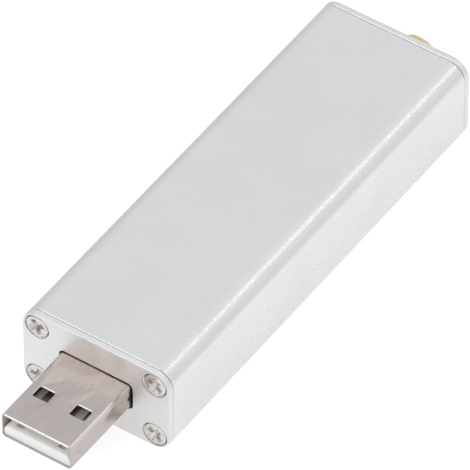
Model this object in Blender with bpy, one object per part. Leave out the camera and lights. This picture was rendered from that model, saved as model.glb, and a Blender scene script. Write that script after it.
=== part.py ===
"""Stick spectrum analyzer: a receiver board in an extruded case with two screwed end plates.

Metres, +Z up. The type-A host plug points along -X and the coaxial jack along +X. The origin is
the middle of the footprint, on the plane that the case lies on.
"""

from math import cos, pi, radians, sin

import bmesh
import bpy
from mathutils import Vector

# Clearances
SEAM = 0.0003            # end plate to the end of the tube
SEAT_GAP = 0.0002        # between pieces that rest on each other
SOLDER_GAP = 0.0001      # under a soldered piece
PASS_GAP = 0.0003        # plug and jack in their openings in the plates
HEAD_GAP = 0.00015       # screw head in its countersink
THREAD_GAP = 0.00015     # screw core in its port
PRESS_GAP = 0.0001       # pressed and moulded inner pieces of the connectors

# Extruded tube
CASE_WIDTH = 0.0254
CASE_HEIGHT = 0.0152
CASE_CORNER = 0.0030
CASE_WALL = 0.0012
TUBE_LENGTH = 0.0739
PORT_WALL = 0.0006       # wall round each screw port
RIB_REACH = 0.0011       # the ribs that hold the board down
RIB_HEIGHT = 0.0008

# End plates
PLATE_THICKNESS = 0.0010
PLATE_CHAMFER = 0.00015

# Countersunk screws with a cross recess
SCREW_INSET = 0.0026     # screw axis to the two nearest sides of the case
SCREW_LENGTH = 0.0060
SCREW_HEAD_DIAMETER = 0.0038
SCREW_HEAD_RIM = 0.0002
SCREW_CORE_DIAMETER = 0.0015
SCREW_TIP = 0.0003
RECESS_SPAN = 0.0021
RECESS_WIDTH = 0.00055
RECESS_DEPTH = 0.0008
RECESS_TAPER = 0.4       # size at the recess floor over size at its mouth

# Circuit board
BOARD_THICKNESS = 0.0008
BOARD_SIDE_GAP = 0.0003

# Type-A host plug
PLUG_WIDTH = 0.0120
PLUG_HEIGHT = 0.0045
PLUG_CORNER = 0.0006
PLUG_WALL = 0.0003
PLUG_REACH = 0.0145      # in front of the front plate
PLUG_LENGTH = 0.01875    # whole shell
PLUG_STANDOFF = 0.0005   # shell above the board
WINDOW_WIDTH = 0.0025
WINDOW_LENGTH = 0.0020
WINDOW_PITCH = 0.0064
WINDOW_SETBACK = 0.0065  # window middle behind the plug's front
LEG_LENGTH = 0.0020      # shell legs, along the board
LEG_INSET = 0.00002      # leg faces inside the wall they continue
LEG_STUB = 0.0006        # leg below the board
TONGUE_THICKNESS = 0.0018
TONGUE_CORNER = 0.0009
TONGUE_SETBACK = 0.00065
PLUG_BLOCK_LENGTH = 0.0045
CONTACT_WIDTH = 0.0010
CONTACT_THICKNESS = 0.0002
CONTACT_OUTER = 0.0035   # outer and inner contacts, off the plug's middle
CONTACT_INNER = 0.0010
CONTACT_OUTER_SETBACK = 0.0025
CONTACT_INNER_SETBACK = 0.0035

# Coaxial jack with a quarter-inch thread
JACK_REACH = 0.0066      # behind the rear plate
JACK_DIAMETER = 0.00635
JACK_TIP_CHAMFER = 0.00045
JACK_FLANGE_LIP = 0.000025   # square flange past the barrel, each side
JACK_FLANGE_THICKNESS = 0.0016
JACK_BORE = 0.0041
JACK_MOUTH = 0.0046
JACK_MOUTH_DEPTH = 0.0019
JACK_LEG = 0.0010
JACK_LEG_LENGTH = 0.0040
PIN_DIAMETER = 0.0013
PIN_SOCKET = 0.00095
PIN_SOCKET_DEPTH = 0.0025
PIN_TAIL = 0.0005
PIN_TAIL_LENGTH = 0.0025

# Shield can over the receiver's input stages
SHIELD_LENGTH = 0.0220
SHIELD_WIDTH = 0.0150
SHIELD_HEIGHT = 0.0026
SHIELD_SHEET = 0.0003
SHIELD_SKIRT = 0.0012
SHIELD_TO_LEGS = 0.0010

# Heat pad between the board and the case floor
PAD_LENGTH = 0.0260
PAD_SIDE_GAP = 0.0008

# Components on the board: name, offset across it, length, width and height, and finish
BODY_CHAMFER = 0.0001
ROWS = (
    (
        ("surge_diode", 0.0, (0.0029, 0.0016, 0.0010), "epoxy"),
        ("ferrite_bead", 0.0042, (0.0032, 0.0016, 0.0011), "ferrite"),
        ("input_capacitor", -0.0046, (0.0035, 0.0028, 0.0019), "tantalum"),
    ),
    (
        ("regulator_chip", 0.0042, (0.0065, 0.0035, 0.0017), "epoxy"),
        ("power_inductor", -0.0018, (0.0040, 0.0040, 0.0021), "ferrite"),
        ("output_capacitor", -0.0062, (0.0035, 0.0028, 0.0019), "tantalum"),
    ),
    (
        ("processor_chip", 0.0, (0.0070, 0.0070, 0.0010), "epoxy"),
        ("memory_chip", 0.0064, (0.0049, 0.0039, 0.0014), "epoxy"),
        ("oscillator_can", -0.0062, (0.0050, 0.0032, 0.0013), "tinplate"),
    ),
)

# Small chips in pairs on the lines between the rows, on both sides of the board's middle
CHIP_SIZE = (0.0010, 0.0020, 0.0008)
CAPACITOR_SIDE = 0.0070
RESISTOR_SIDE = 0.0040

# Input stages under the shield: name, offset from its middle towards the jack, offset across, size
SHIELDED = (
    ("coupling_capacitor", 0.0075, 0.0, (0.0020, 0.0012, 0.0012), "ceramic"),
    ("input_filter", 0.0040, 0.0, (0.0030, 0.0030, 0.0011), "tinplate"),
    ("tuner_chip", -0.0040, 0.0, (0.0050, 0.0050, 0.0009), "epoxy"),
    ("tuner_inductor", -0.0040, 0.0050, (0.0025, 0.0020, 0.0016), "ferrite"),
    ("tuner_capacitor", -0.0040, -0.0050, (0.0020, 0.0012, 0.0012), "ceramic"),
)

# Facets
CORNER_STEPS = 8
SMALL_STEPS = 4
ROUND_STEPS = 32
BORE_STEPS = 20

# Stations along X, from the plug's tip to the jack's tip
TOTAL_LENGTH = PLUG_REACH + 2 * PLATE_THICKNESS + 2 * SEAM + TUBE_LENGTH + JACK_REACH
PLUG_TIP = -TOTAL_LENGTH / 2
FRONT_OUTER = PLUG_TIP + PLUG_REACH
FRONT_INNER = FRONT_OUTER + PLATE_THICKNESS
TUBE_FRONT = FRONT_INNER + SEAM
TUBE_REAR = TUBE_FRONT + TUBE_LENGTH
REAR_INNER = TUBE_REAR + SEAM
REAR_OUTER = REAR_INNER + PLATE_THICKNESS
JACK_TIP = REAR_OUTER + JACK_REACH
JACK_FLANGE = JACK_DIAMETER + 2 * JACK_FLANGE_LIP
FLANGE_REAR = REAR_INNER - SEAT_GAP
FLANGE_FRONT = FLANGE_REAR - JACK_FLANGE_THICKNESS
BOARD_FRONT = TUBE_FRONT + SEAT_GAP
BOARD_REAR = FLANGE_FRONT - SEAT_GAP
PLUG_REAR = PLUG_TIP + PLUG_LENGTH

# Stations across Y and up Z
SCREW_Y = CASE_WIDTH / 2 - SCREW_INSET
SCREW_Z_LOW = SCREW_INSET
SCREW_Z_HIGH = CASE_HEIGHT - SCREW_INSET
PORT_BORE = SCREW_CORE_DIAMETER / 2 + THREAD_GAP
PORT_RADIUS = PORT_BORE + PORT_WALL
INNER_Y = CASE_WIDTH / 2 - CASE_WALL
LEDGE = SCREW_Z_LOW + PORT_RADIUS
BOARD_BOTTOM = LEDGE + SEAT_GAP
BOARD_TOP = BOARD_BOTTOM + BOARD_THICKNESS
BOARD_HALF_WIDTH = INNER_Y - BOARD_SIDE_GAP
PLUG_BOTTOM = BOARD_TOP + PLUG_STANDOFF
PLUG_AXIS = PLUG_BOTTOM + PLUG_HEIGHT / 2
TONGUE_BOTTOM = PLUG_BOTTOM + PLUG_WALL + PRESS_GAP
CONTACT_BOTTOM = TONGUE_BOTTOM + TONGUE_THICKNESS + PRESS_GAP
JACK_AXIS = BOARD_TOP + SOLDER_GAP + PIN_TAIL / 2
COMPONENT_SEAT = BOARD_TOP + SOLDER_GAP
SHIELD_REAR = FLANGE_FRONT - JACK_LEG_LENGTH - SHIELD_TO_LEGS
SHIELD_FRONT = SHIELD_REAR - SHIELD_LENGTH
SHIELD_MIDDLE = (SHIELD_FRONT + SHIELD_REAR) / 2
CONTACT_TAIL = PLUG_REAR + PASS_GAP

BLOCK_FRONT = PLUG_REAR - PLUG_BLOCK_LENGTH
MOUTH_FLOOR = JACK_TIP - JACK_MOUTH_DEPTH

# Rows of components share the room between the plug's tails and the shield
ROOM_START = CONTACT_TAIL + CONTACT_THICKNESS
ROW_PITCH = (SHIELD_FRONT - ROOM_START) / len(ROWS)


def linear(hex_colour):
    """Turn an sRGB hex colour into linear red, green, blue and alpha."""
    values = [int(hex_colour[i:i + 2], 16) / 255 for i in (1, 3, 5)]
    return [v / 12.92 if v <= 0.04045 else ((v + 0.055) / 1.055) ** 2.4 for v in values] + [1.0]


def finish(name, colour, roughness, metallic):
    """Make one plain material."""
    material = bpy.data.materials.new(name)
    material.use_nodes = True
    shader = material.node_tree.nodes["Principled BSDF"]
    shader.inputs["Base Color"].default_value = linear(colour)
    shader.inputs["Roughness"].default_value = roughness
    shader.inputs["Metallic"].default_value = metallic
    return material


def arc(centre, radius, start, end, steps):
    """Points on an arc, both ends included, angles in degrees."""
    turns = [radians(start + (end - start) * i / steps) for i in range(steps + 1)]
    return [(centre[0] + radius * cos(t), centre[1] + radius * sin(t)) for t in turns]


def circle(centre, diameter, steps):
    """Points of a closed circle."""
    turns = [2 * pi * i / steps for i in range(steps)]
    return [(centre[0] + diameter / 2 * cos(t), centre[1] + diameter / 2 * sin(t)) for t in turns]


def rounded(centre, width, height, radius, steps):
    """Points of a rectangle with round corners."""
    u = width / 2 - radius
    v = height / 2 - radius
    corners = ((u, v, 0), (-u, v, 90), (-u, -v, 180), (u, -v, 270))
    points = []
    for du, dv, start in corners:
        points += arc((centre[0] + du, centre[1] + dv), radius, start, start + 90, steps)
    return points


def rectangle(u0, u1, v0, v1):
    """Points of a plain rectangle."""
    return [(u0, v0), (u1, v0), (u1, v1), (u0, v1)]


def cross(span, width):
    """Points of a cross with four equal arms."""
    s = span / 2
    w = width / 2
    arm = [(s, -w), (s, w), (w, w)]
    points = []
    for quarter in range(4):
        for u, v in arm:
            for _ in range(quarter):
                u, v = -v, u
            points.append((u, v))
    return points


def ring(mesh, points, station, axis):
    """Add one closed loop of points, square to an axis."""
    place = {
        "X": lambda u, v: (station, u, v),
        "Y": lambda u, v: (u, station, v),
        "Z": lambda u, v: (u, v, station),
    }[axis]
    return [mesh.verts.new(place(u, v)) for u, v in points]


def bridge(mesh, near, far):
    """Join two loops that have the same number of points."""
    for i in range(len(near)):
        mesh.faces.new((near[i - 1], near[i], far[i], far[i - 1]))


def cap(mesh, loops):
    """Close a flat face whose outline and holes are the given loops."""
    edges = []
    for loop in loops:
        for i in range(len(loop)):
            edges.append(mesh.edges.get((loop[i - 1], loop[i])) or mesh.edges.new((loop[i - 1], loop[i])))
    bmesh.ops.triangle_fill(mesh, edges=edges, use_beauty=True)


def chain(mesh, sections, axis):
    """Bridge single loops one after another and return the first and the last."""
    rings = [ring(mesh, points, station, axis) for station, points in sections]
    for near, far in zip(rings, rings[1:]):
        bridge(mesh, near, far)
    return rings[0], rings[-1]


def loft(sections, axis="X"):
    """A closed solid through sections, each a station and its loops, outline first and then holes."""
    mesh = bmesh.new()
    stations = [station for station, _ in sections]
    first = []
    last = []
    for loops in zip(*[loops for _, loops in sections]):
        start, end = chain(mesh, list(zip(stations, loops)), axis)
        first.append(start)
        last.append(end)
    cap(mesh, first)
    cap(mesh, last)
    return mesh


def block(x0, x1, y0, y1, z0, z1, chamfer=0.0):
    """A box, with its upper edges chamfered where a chamfer is given."""
    base = rectangle(x0, x1, y0, y1)
    if not chamfer:
        return loft([(z0, [base]), (z1, [base])], "Z")
    top = rectangle(x0 + chamfer, x1 - chamfer, y0 + chamfer, y1 - chamfer)
    return loft([(z0, [base]), (z1 - chamfer, [base]), (z1, [top])], "Z")


def mesh_data(name, mesh, origin=(0, 0, 0)):
    """Turn a working mesh into mesh data round an origin, faces out and shaded smooth."""
    bmesh.ops.translate(mesh, vec=-Vector(origin), verts=mesh.verts)
    bmesh.ops.recalc_face_normals(mesh, faces=mesh.faces)
    data = bpy.data.meshes.new(name)
    mesh.to_mesh(data)
    mesh.free()
    data.shade_smooth()
    data.set_sharp_from_angle(angle=radians(35))
    return data


def node(name, data, origin, carrier, material):
    """Place mesh data as one sub-part, carried by an empty."""
    piece = bpy.data.objects.new(name, data)
    bpy.context.collection.objects.link(piece)
    if not data.materials:
        data.materials.append(material)
    piece.parent = carrier
    piece.location = Vector(origin) - (carrier.location if carrier else Vector())
    return piece


def add(name, mesh, origin, carrier, material):
    """Make one sub-part from a working mesh that was drawn in place."""
    return node(name, mesh_data(name, mesh, origin), origin, carrier, material)


def carrier(name, location):
    """An empty on the line along which a group of pieces slides."""
    empty = bpy.data.objects.new(name, None)
    empty.location = location
    bpy.context.collection.objects.link(empty)
    return empty


def shape_with(piece, name, mesh, operation):
    """Cut a piece with, or join to it, a solid that is hidden itself."""
    tool = bpy.data.objects.new(name, mesh_data(name, mesh))
    bpy.context.collection.objects.link(tool)
    tool.hide_render = True
    tool.display_type = "WIRE"
    modifier = piece.modifiers.new(name, "BOOLEAN")
    modifier.object = tool
    modifier.operation = operation
    modifier.solver = "EXACT"


def case_outline(inset=0.0):
    """The outline shared by the tube and both plates."""
    centre = (0, CASE_HEIGHT / 2)
    size = (CASE_WIDTH - 2 * inset, CASE_HEIGHT - 2 * inset)
    return rounded(centre, size[0], size[1], CASE_CORNER - inset, CORNER_STEPS)


def screw_centres():
    """The four screw axes of one end."""
    return [(y, z) for z in (SCREW_Z_LOW, SCREW_Z_HIGH) for y in (-SCREW_Y, SCREW_Y)]


def cavity_outline():
    """The inside of the tube: four screw ports, and a ledge and a rib for each board edge."""
    port_side = SCREW_Y - PORT_RADIUS
    rib_low = BOARD_TOP + SEAT_GAP
    rib_high = rib_low + RIB_HEIGHT
    side = [(port_side, CASE_WALL)]
    side += arc((SCREW_Y, SCREW_Z_LOW), PORT_RADIUS, 180, 90, CORNER_STEPS)
    side += [(INNER_Y, LEDGE), (INNER_Y, rib_low), (INNER_Y - RIB_REACH, rib_low)]
    side += [(INNER_Y - RIB_REACH, rib_high), (INNER_Y, rib_high), (INNER_Y, CASE_HEIGHT - LEDGE)]
    side += arc((SCREW_Y, SCREW_Z_HIGH), PORT_RADIUS, 270, 180, CORNER_STEPS)
    side += [(port_side, CASE_HEIGHT - CASE_WALL)]
    return side + [(-y, z) for y, z in reversed(side)]


def build_tube(material):
    """The extruded tube, with its bores for the screws."""
    loops = [case_outline(), cavity_outline()]
    loops += [circle(centre, 2 * PORT_BORE, BORE_STEPS) for centre in screw_centres()]
    mesh = loft([(TUBE_FRONT, loops), (TUBE_REAR, loops)])
    add("case_tube", mesh, ((TUBE_FRONT + TUBE_REAR) / 2, 0, 0), None, material)


def head_radius(depth):
    """Radius of a screw head at a depth under its face, on a right-angled cone."""
    return SCREW_HEAD_DIAMETER / 2 - max(0.0, depth - SCREW_HEAD_RIM)


def build_plate(name, outer, inner, opening, empty, material):
    """One end plate, with its opening and four countersunk holes, from its outer face inwards."""
    inward = 1 if inner > outer else -1
    depths = (0.0, PLATE_CHAMFER, SCREW_HEAD_RIM, PLATE_THICKNESS)
    sections = []
    for depth in depths:
        loops = [case_outline(PLATE_CHAMFER if depth == 0.0 else 0.0), opening]
        hole = 2 * (head_radius(depth) + HEAD_GAP)
        loops += [circle(centre, hole, BORE_STEPS) for centre in screw_centres()]
        sections.append((outer + inward * depth, loops))
    add(name, loft(sections), (outer, 0, CASE_HEIGHT / 2), empty, material)


def screw_mesh():
    """A countersunk screw along +X from its head's face, with a cross recess."""
    core = SCREW_CORE_DIAMETER / 2
    cone_end = SCREW_HEAD_RIM + SCREW_HEAD_DIAMETER / 2 - core
    profile = [
        (0.0, head_radius(0.0)),
        (SCREW_HEAD_RIM, head_radius(SCREW_HEAD_RIM)),
        (cone_end, core),
        (SCREW_LENGTH - SCREW_TIP, core),
        (SCREW_LENGTH, core - SCREW_TIP),
    ]
    mesh = bmesh.new()
    rings = [(depth, circle((0, 0), 2 * radius, BORE_STEPS)) for depth, radius in profile]
    face, tip = chain(mesh, rings, "X")
    mouth = cross(RECESS_SPAN, RECESS_WIDTH)
    floor = cross(RECESS_SPAN * RECESS_TAPER, RECESS_WIDTH * RECESS_TAPER)
    lip, bed = chain(mesh, [(0.0, mouth), (RECESS_DEPTH, floor)], "X")
    cap(mesh, [face, lip])
    cap(mesh, [bed])
    cap(mesh, [tip])
    return mesh_data("end_screw", mesh)


def build_screws(prefix, data, face, turn, empty, material):
    """The four screws of one plate."""
    for number, (y, z) in enumerate(screw_centres(), 1):
        screw = node(f"{prefix}_{number}", data, (face, y, z), empty, material)
        screw.rotation_euler.z = turn


def build_board(empty, material):
    """The circuit board, with slots for the legs of the plug's shell."""
    outline = rectangle(BOARD_FRONT, BOARD_REAR, -BOARD_HALF_WIDTH, BOARD_HALF_WIDTH)
    loops = [outline]
    for side in (-1, 1):
        wall = sorted((side * PLUG_WIDTH / 2, side * (PLUG_WIDTH / 2 - PLUG_WALL)))
        slot = (PLUG_REAR - LEG_LENGTH - SEAT_GAP, PLUG_REAR + SEAT_GAP)
        loops.append(rectangle(*slot, wall[0] - SEAT_GAP, wall[1] + SEAT_GAP))
    mesh = loft([(BOARD_BOTTOM, loops), (BOARD_TOP, loops)], "Z")
    add("circuit_board", mesh, (BOARD_FRONT, 0, BOARD_TOP), empty, material)


def plug_outline(inset):
    """The plug's section, or one inside it."""
    width = PLUG_WIDTH - 2 * inset
    height = PLUG_HEIGHT - 2 * inset
    return rounded((0, PLUG_AXIS), width, height, max(PLUG_CORNER - inset, 0.0001), SMALL_STEPS)


def build_shell(empty, material):
    """The plug's folded shell, with windows in its top and bottom and two legs into the board."""
    loops = [plug_outline(0), plug_outline(PLUG_WALL)]
    mesh = loft([(PLUG_TIP, loops), (PLUG_REAR, loops)])
    shell = add("plug_shell", mesh, (PLUG_TIP, 0, PLUG_AXIS), empty, material)
    window = PLUG_TIP + WINDOW_SETBACK
    along = (window - WINDOW_LENGTH / 2, window + WINDOW_LENGTH / 2)
    heights = (PLUG_BOTTOM - PLUG_WALL, PLUG_BOTTOM + PLUG_HEIGHT + PLUG_WALL)
    leg_along = (PLUG_REAR - LEG_LENGTH, PLUG_REAR - LEG_INSET)
    leg_heights = (BOARD_BOTTOM - LEG_STUB, PLUG_AXIS)
    for side, word in ((-1, "right"), (1, "left")):
        middle = side * WINDOW_PITCH / 2
        cut = block(*along, middle - WINDOW_WIDTH / 2, middle + WINDOW_WIDTH / 2, *heights)
        shape_with(shell, f"window_{word}", cut, "DIFFERENCE")
        outer = side * (PLUG_WIDTH / 2 - LEG_INSET)
        inner = side * (PLUG_WIDTH / 2 - PLUG_WALL + LEG_INSET)
        leg = block(*leg_along, min(outer, inner), max(outer, inner), *leg_heights)
        shape_with(shell, f"leg_{word}", leg, "UNION")


def build_tongue(empty, material):
    """The plug's tongue, in the lower half of the shell."""
    half = PLUG_WIDTH / 2 - PLUG_WALL - PRESS_GAP
    foot = PLUG_CORNER - PLUG_WALL
    low = TONGUE_BOTTOM + foot
    high = TONGUE_BOTTOM + TONGUE_THICKNESS - TONGUE_CORNER
    section = arc((foot - half, low), foot, 180, 270, SMALL_STEPS)
    section += arc((half - foot, low), foot, 270, 360, SMALL_STEPS)
    section += arc((half - TONGUE_CORNER, high), TONGUE_CORNER, 0, 90, SMALL_STEPS)
    section += arc((TONGUE_CORNER - half, high), TONGUE_CORNER, 90, 180, SMALL_STEPS)
    ends = (PLUG_TIP + TONGUE_SETBACK, BLOCK_FRONT - PRESS_GAP)
    mesh = loft([(x, [section]) for x in ends])
    add("plug_tongue", mesh, (PLUG_TIP, 0, PLUG_AXIS), empty, material)


def build_contacts(empty, plastic, gold):
    """The block that closes the shell's rear, and the four contacts that pass through it."""
    half = CONTACT_WIDTH / 2
    top = CONTACT_BOTTOM + CONTACT_THICKNESS
    back = CONTACT_TAIL + CONTACT_THICKNESS
    loops = [plug_outline(PLUG_WALL + PRESS_GAP)]
    places = (
        (-CONTACT_OUTER, CONTACT_OUTER_SETBACK),
        (-CONTACT_INNER, CONTACT_INNER_SETBACK),
        (CONTACT_INNER, CONTACT_INNER_SETBACK),
        (CONTACT_OUTER, CONTACT_OUTER_SETBACK),
    )
    for number, (y, setback) in enumerate(places, 1):
        sides = (y - half - PRESS_GAP, y + half + PRESS_GAP)
        loops.append(rectangle(*sides, CONTACT_BOTTOM - PRESS_GAP, top + PRESS_GAP))
        tip = PLUG_TIP + setback
        strip = [(tip, CONTACT_BOTTOM), (CONTACT_TAIL, CONTACT_BOTTOM), (CONTACT_TAIL, COMPONENT_SEAT)]
        strip += [(back, COMPONENT_SEAT), (back, top), (tip, top)]
        mesh = loft([(y - half, [strip]), (y + half, [strip])], "Y")
        add(f"plug_contact_{number}", mesh, (tip, y, CONTACT_BOTTOM), empty, gold)
    mesh = loft([(BLOCK_FRONT, loops), (PLUG_REAR, loops)])
    add("plug_block", mesh, (PLUG_REAR, 0, PLUG_AXIS), empty, plastic)


def build_jack_body(empty, material):
    """The jack's body: a square flange with four legs over and under the board, and a barrel."""
    centre = (0, JACK_AXIS)
    half = JACK_FLANGE / 2
    square = rectangle(-half, half, JACK_AXIS - half, JACK_AXIS + half)
    barrel = circle(centre, JACK_DIAMETER, ROUND_STEPS)
    rim = circle(centre, JACK_DIAMETER - 2 * JACK_TIP_CHAMFER, ROUND_STEPS)
    mouth = circle(centre, JACK_MOUTH, ROUND_STEPS)
    bore = circle(centre, JACK_BORE, ROUND_STEPS)
    mesh = bmesh.new()
    back, front = chain(mesh, [(FLANGE_FRONT, square), (FLANGE_REAR, square)], "X")
    profile = [(FLANGE_REAR, barrel), (JACK_TIP - JACK_TIP_CHAMFER, barrel), (JACK_TIP, rim)]
    root, tip = chain(mesh, profile, "X")
    lip, step = chain(mesh, [(JACK_TIP, mouth), (MOUTH_FLOOR, mouth)], "X")
    throat, drain = chain(mesh, [(MOUTH_FLOOR, bore), (FLANGE_FRONT, bore)], "X")
    above = (COMPONENT_SEAT, COMPONENT_SEAT + JACK_LEG)
    below = (BOARD_BOTTOM - SOLDER_GAP - JACK_LEG, BOARD_BOTTOM - SOLDER_GAP)
    edge = half - PRESS_GAP
    feet = []
    for heights in (above, below):
        for sides in ((-edge, JACK_LEG - edge), (edge - JACK_LEG, edge)):
            leg = rectangle(*sides, *heights)
            stations = (FLANGE_FRONT, FLANGE_FRONT - JACK_LEG_LENGTH)
            foot, end = chain(mesh, [(x, leg) for x in stations], "X")
            feet.append(foot)
            cap(mesh, [end])
    cap(mesh, [back, drain] + feet)
    cap(mesh, [front, root])
    cap(mesh, [tip, lip])
    cap(mesh, [step, throat])
    add("coax_jack_body", mesh, (REAR_OUTER, 0, JACK_AXIS), empty, material)


def build_jack_inside(empty, gold, ptfe):
    """The jack's dielectric and its socket pin, whose tail lies on the board."""
    centre = (0, JACK_AXIS)
    origin = (REAR_OUTER, 0, JACK_AXIS)
    loops = [circle(centre, JACK_BORE - 2 * PRESS_GAP, ROUND_STEPS)]
    loops.append(circle(centre, PIN_DIAMETER + 2 * PRESS_GAP, BORE_STEPS))
    mesh = loft([(FLANGE_FRONT, loops), (MOUTH_FLOOR, loops)])
    add("coax_dielectric", mesh, origin, empty, ptfe)

    pin = circle(centre, PIN_DIAMETER, BORE_STEPS)
    tail = circle(centre, PIN_TAIL, BORE_STEPS)
    socket = circle(centre, PIN_SOCKET, BORE_STEPS)
    mesh = bmesh.new()
    end, shoulder = chain(mesh, [(FLANGE_FRONT - PIN_TAIL_LENGTH, tail), (FLANGE_FRONT, tail)], "X")
    root, tip = chain(mesh, [(FLANGE_FRONT, pin), (MOUTH_FLOOR, pin)], "X")
    lip, floor = chain(mesh, [(MOUTH_FLOOR, socket), (MOUTH_FLOOR - PIN_SOCKET_DEPTH, socket)], "X")
    cap(mesh, [end])
    cap(mesh, [root, shoulder])
    cap(mesh, [tip, lip])
    cap(mesh, [floor])
    add("coax_socket_pin", mesh, origin, empty, gold)


def shield_outline(inset):
    """The shield's plan, or one inside it."""
    half = SHIELD_WIDTH / 2 - inset
    return rectangle(SHIELD_FRONT + inset, SHIELD_REAR - inset, -half, half)


def build_shield(empty, material):
    """The shield can: a fence on the board and a lid with a skirt round it."""
    origin = (SHIELD_MIDDLE, 0, BOARD_TOP)
    roof = COMPONENT_SEAT + SHIELD_HEIGHT
    ceiling_height = roof - SHIELD_SHEET
    fence_inset = SHIELD_SHEET + PRESS_GAP
    fence = [shield_outline(fence_inset), shield_outline(fence_inset + SHIELD_SHEET)]
    mesh = loft([(COMPONENT_SEAT, fence), (ceiling_height - PRESS_GAP, fence)], "Z")
    add("shield_fence", mesh, origin, empty, material)

    outside = shield_outline(0)
    inside = shield_outline(SHIELD_SHEET)
    hem = roof - SHIELD_SKIRT
    mesh = bmesh.new()
    outer_hem, top = chain(mesh, [(hem, outside), (roof, outside)], "Z")
    inner_hem, ceiling = chain(mesh, [(hem, inside), (ceiling_height, inside)], "Z")
    cap(mesh, [outer_hem, inner_hem])
    cap(mesh, [ceiling])
    cap(mesh, [top])
    add("shield_lid", mesh, origin, empty, material)


def build_component(name, x, y, size, empty, material):
    """One soldered component, by its middle and its length, width and height."""
    length, width, height = size
    box = (x - length / 2, x + length / 2, y - width / 2, y + width / 2)
    mesh = block(*box, COMPONENT_SEAT, COMPONENT_SEAT + height, BODY_CHAMFER)
    add(name, mesh, (x, y, COMPONENT_SEAT), empty, material)


def build_components(empty, finishes):
    """Everything soldered on the board between the plug and the jack."""
    for index, row in enumerate(ROWS):
        x = ROOM_START + ROW_PITCH * (index + 0.5)
        for name, y, size, key in row:
            build_component(name, x, y, size, empty, finishes[key])
    number = 0
    for line in range(1, len(ROWS)):
        x = ROOM_START + ROW_PITCH * line
        for side in (-1, 1):
            number += 1
            capacitor = f"bypass_capacitor_{number}"
            build_component(capacitor, x, side * CAPACITOR_SIDE, CHIP_SIZE, empty, finishes["ceramic"])
            resistor = f"bias_resistor_{number}"
            build_component(resistor, x, side * RESISTOR_SIDE, CHIP_SIZE, empty, finishes["resistor"])
    for name, x, y, size, key in SHIELDED:
        build_component(name, SHIELD_MIDDLE + x, y, size, empty, finishes[key])


def build_pad(empty, silicone):
    """The soft heat pad that the board presses on the case floor."""
    half = SCREW_Y - PORT_RADIUS - PAD_SIDE_GAP
    middle = (BOARD_FRONT + BOARD_REAR) / 2
    ends = (middle - PAD_LENGTH / 2, middle + PAD_LENGTH / 2)
    mesh = block(*ends, -half, half, CASE_WALL + SEAT_GAP, BOARD_BOTTOM - SEAT_GAP)
    add("heat_pad", mesh, (middle, 0, BOARD_BOTTOM), empty, silicone)


def main():
    """Clear the scene and build the whole instrument."""
    for old in list(bpy.data.objects):
        bpy.data.objects.remove(old)
    finishes = {
        "aluminium": finish("anodised_aluminium", "#d6d8da", 0.42, 1.0),
        "plate": finish("satin_aluminium", "#dcdddd", 0.34, 1.0),
        "nickel": finish("nickel_plated_steel", "#c9c3bc", 0.25, 1.0),
        "gold": finish("gold_plated_brass", "#d8b765", 0.24, 1.0),
        "plastic": finish("white_plastic", "#e8eae8", 0.45, 0.0),
        "ptfe": finish("white_ptfe", "#eeeeea", 0.5, 0.0),
        "board": finish("solder_mask_green", "#1d5a38", 0.4, 0.0),
        "epoxy": finish("black_epoxy", "#1c1c1e", 0.55, 0.0),
        "tinplate": finish("tinplate", "#c8cac8", 0.3, 1.0),
        "ceramic": finish("ceramic_capacitor", "#b39872", 0.5, 0.0),
        "tantalum": finish("tantalum_case", "#c9922e", 0.5, 0.0),
        "ferrite": finish("ferrite", "#3a3a3c", 0.6, 0.0),
        "resistor": finish("thick_film", "#222226", 0.4, 0.0),
        "silicone": finish("grey_silicone", "#8b9aa5", 0.7, 0.0),
    }
    middle = CASE_HEIGHT / 2
    front = carrier("front_cover", (FRONT_OUTER, 0, middle))
    rear = carrier("rear_cover", (REAR_OUTER, 0, middle))
    chassis = carrier("chassis", (BOARD_FRONT, 0, BOARD_TOP))

    build_tube(finishes["aluminium"])
    slot = plug_outline(-PASS_GAP)
    build_plate("front_plate", FRONT_OUTER, FRONT_INNER, slot, front, finishes["plate"])
    hole = circle((0, JACK_AXIS), JACK_DIAMETER + 2 * PASS_GAP, ROUND_STEPS)
    build_plate("rear_plate", REAR_OUTER, REAR_INNER, hole, rear, finishes["plate"])
    screw = screw_mesh()
    build_screws("front_screw", screw, FRONT_OUTER, 0, front, finishes["nickel"])
    build_screws("rear_screw", screw, REAR_OUTER, pi, rear, finishes["nickel"])
    build_board(chassis, finishes["board"])
    build_shell(chassis, finishes["nickel"])
    build_tongue(chassis, finishes["plastic"])
    build_contacts(chassis, finishes["plastic"], finishes["gold"])
    build_jack_body(chassis, finishes["gold"])
    build_jack_inside(chassis, finishes["gold"], finishes["ptfe"])
    build_shield(chassis, finishes["tinplate"])
    build_components(chassis, finishes)
    build_pad(chassis, finishes["silicone"])


main()
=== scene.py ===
"""Looks of a stick spectrum analyzer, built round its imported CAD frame.

Metres, +Z up. The type-A plug points along -X and the coaxial jack along +X.
"""

from math import cos, floor, pi, radians, sin

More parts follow.
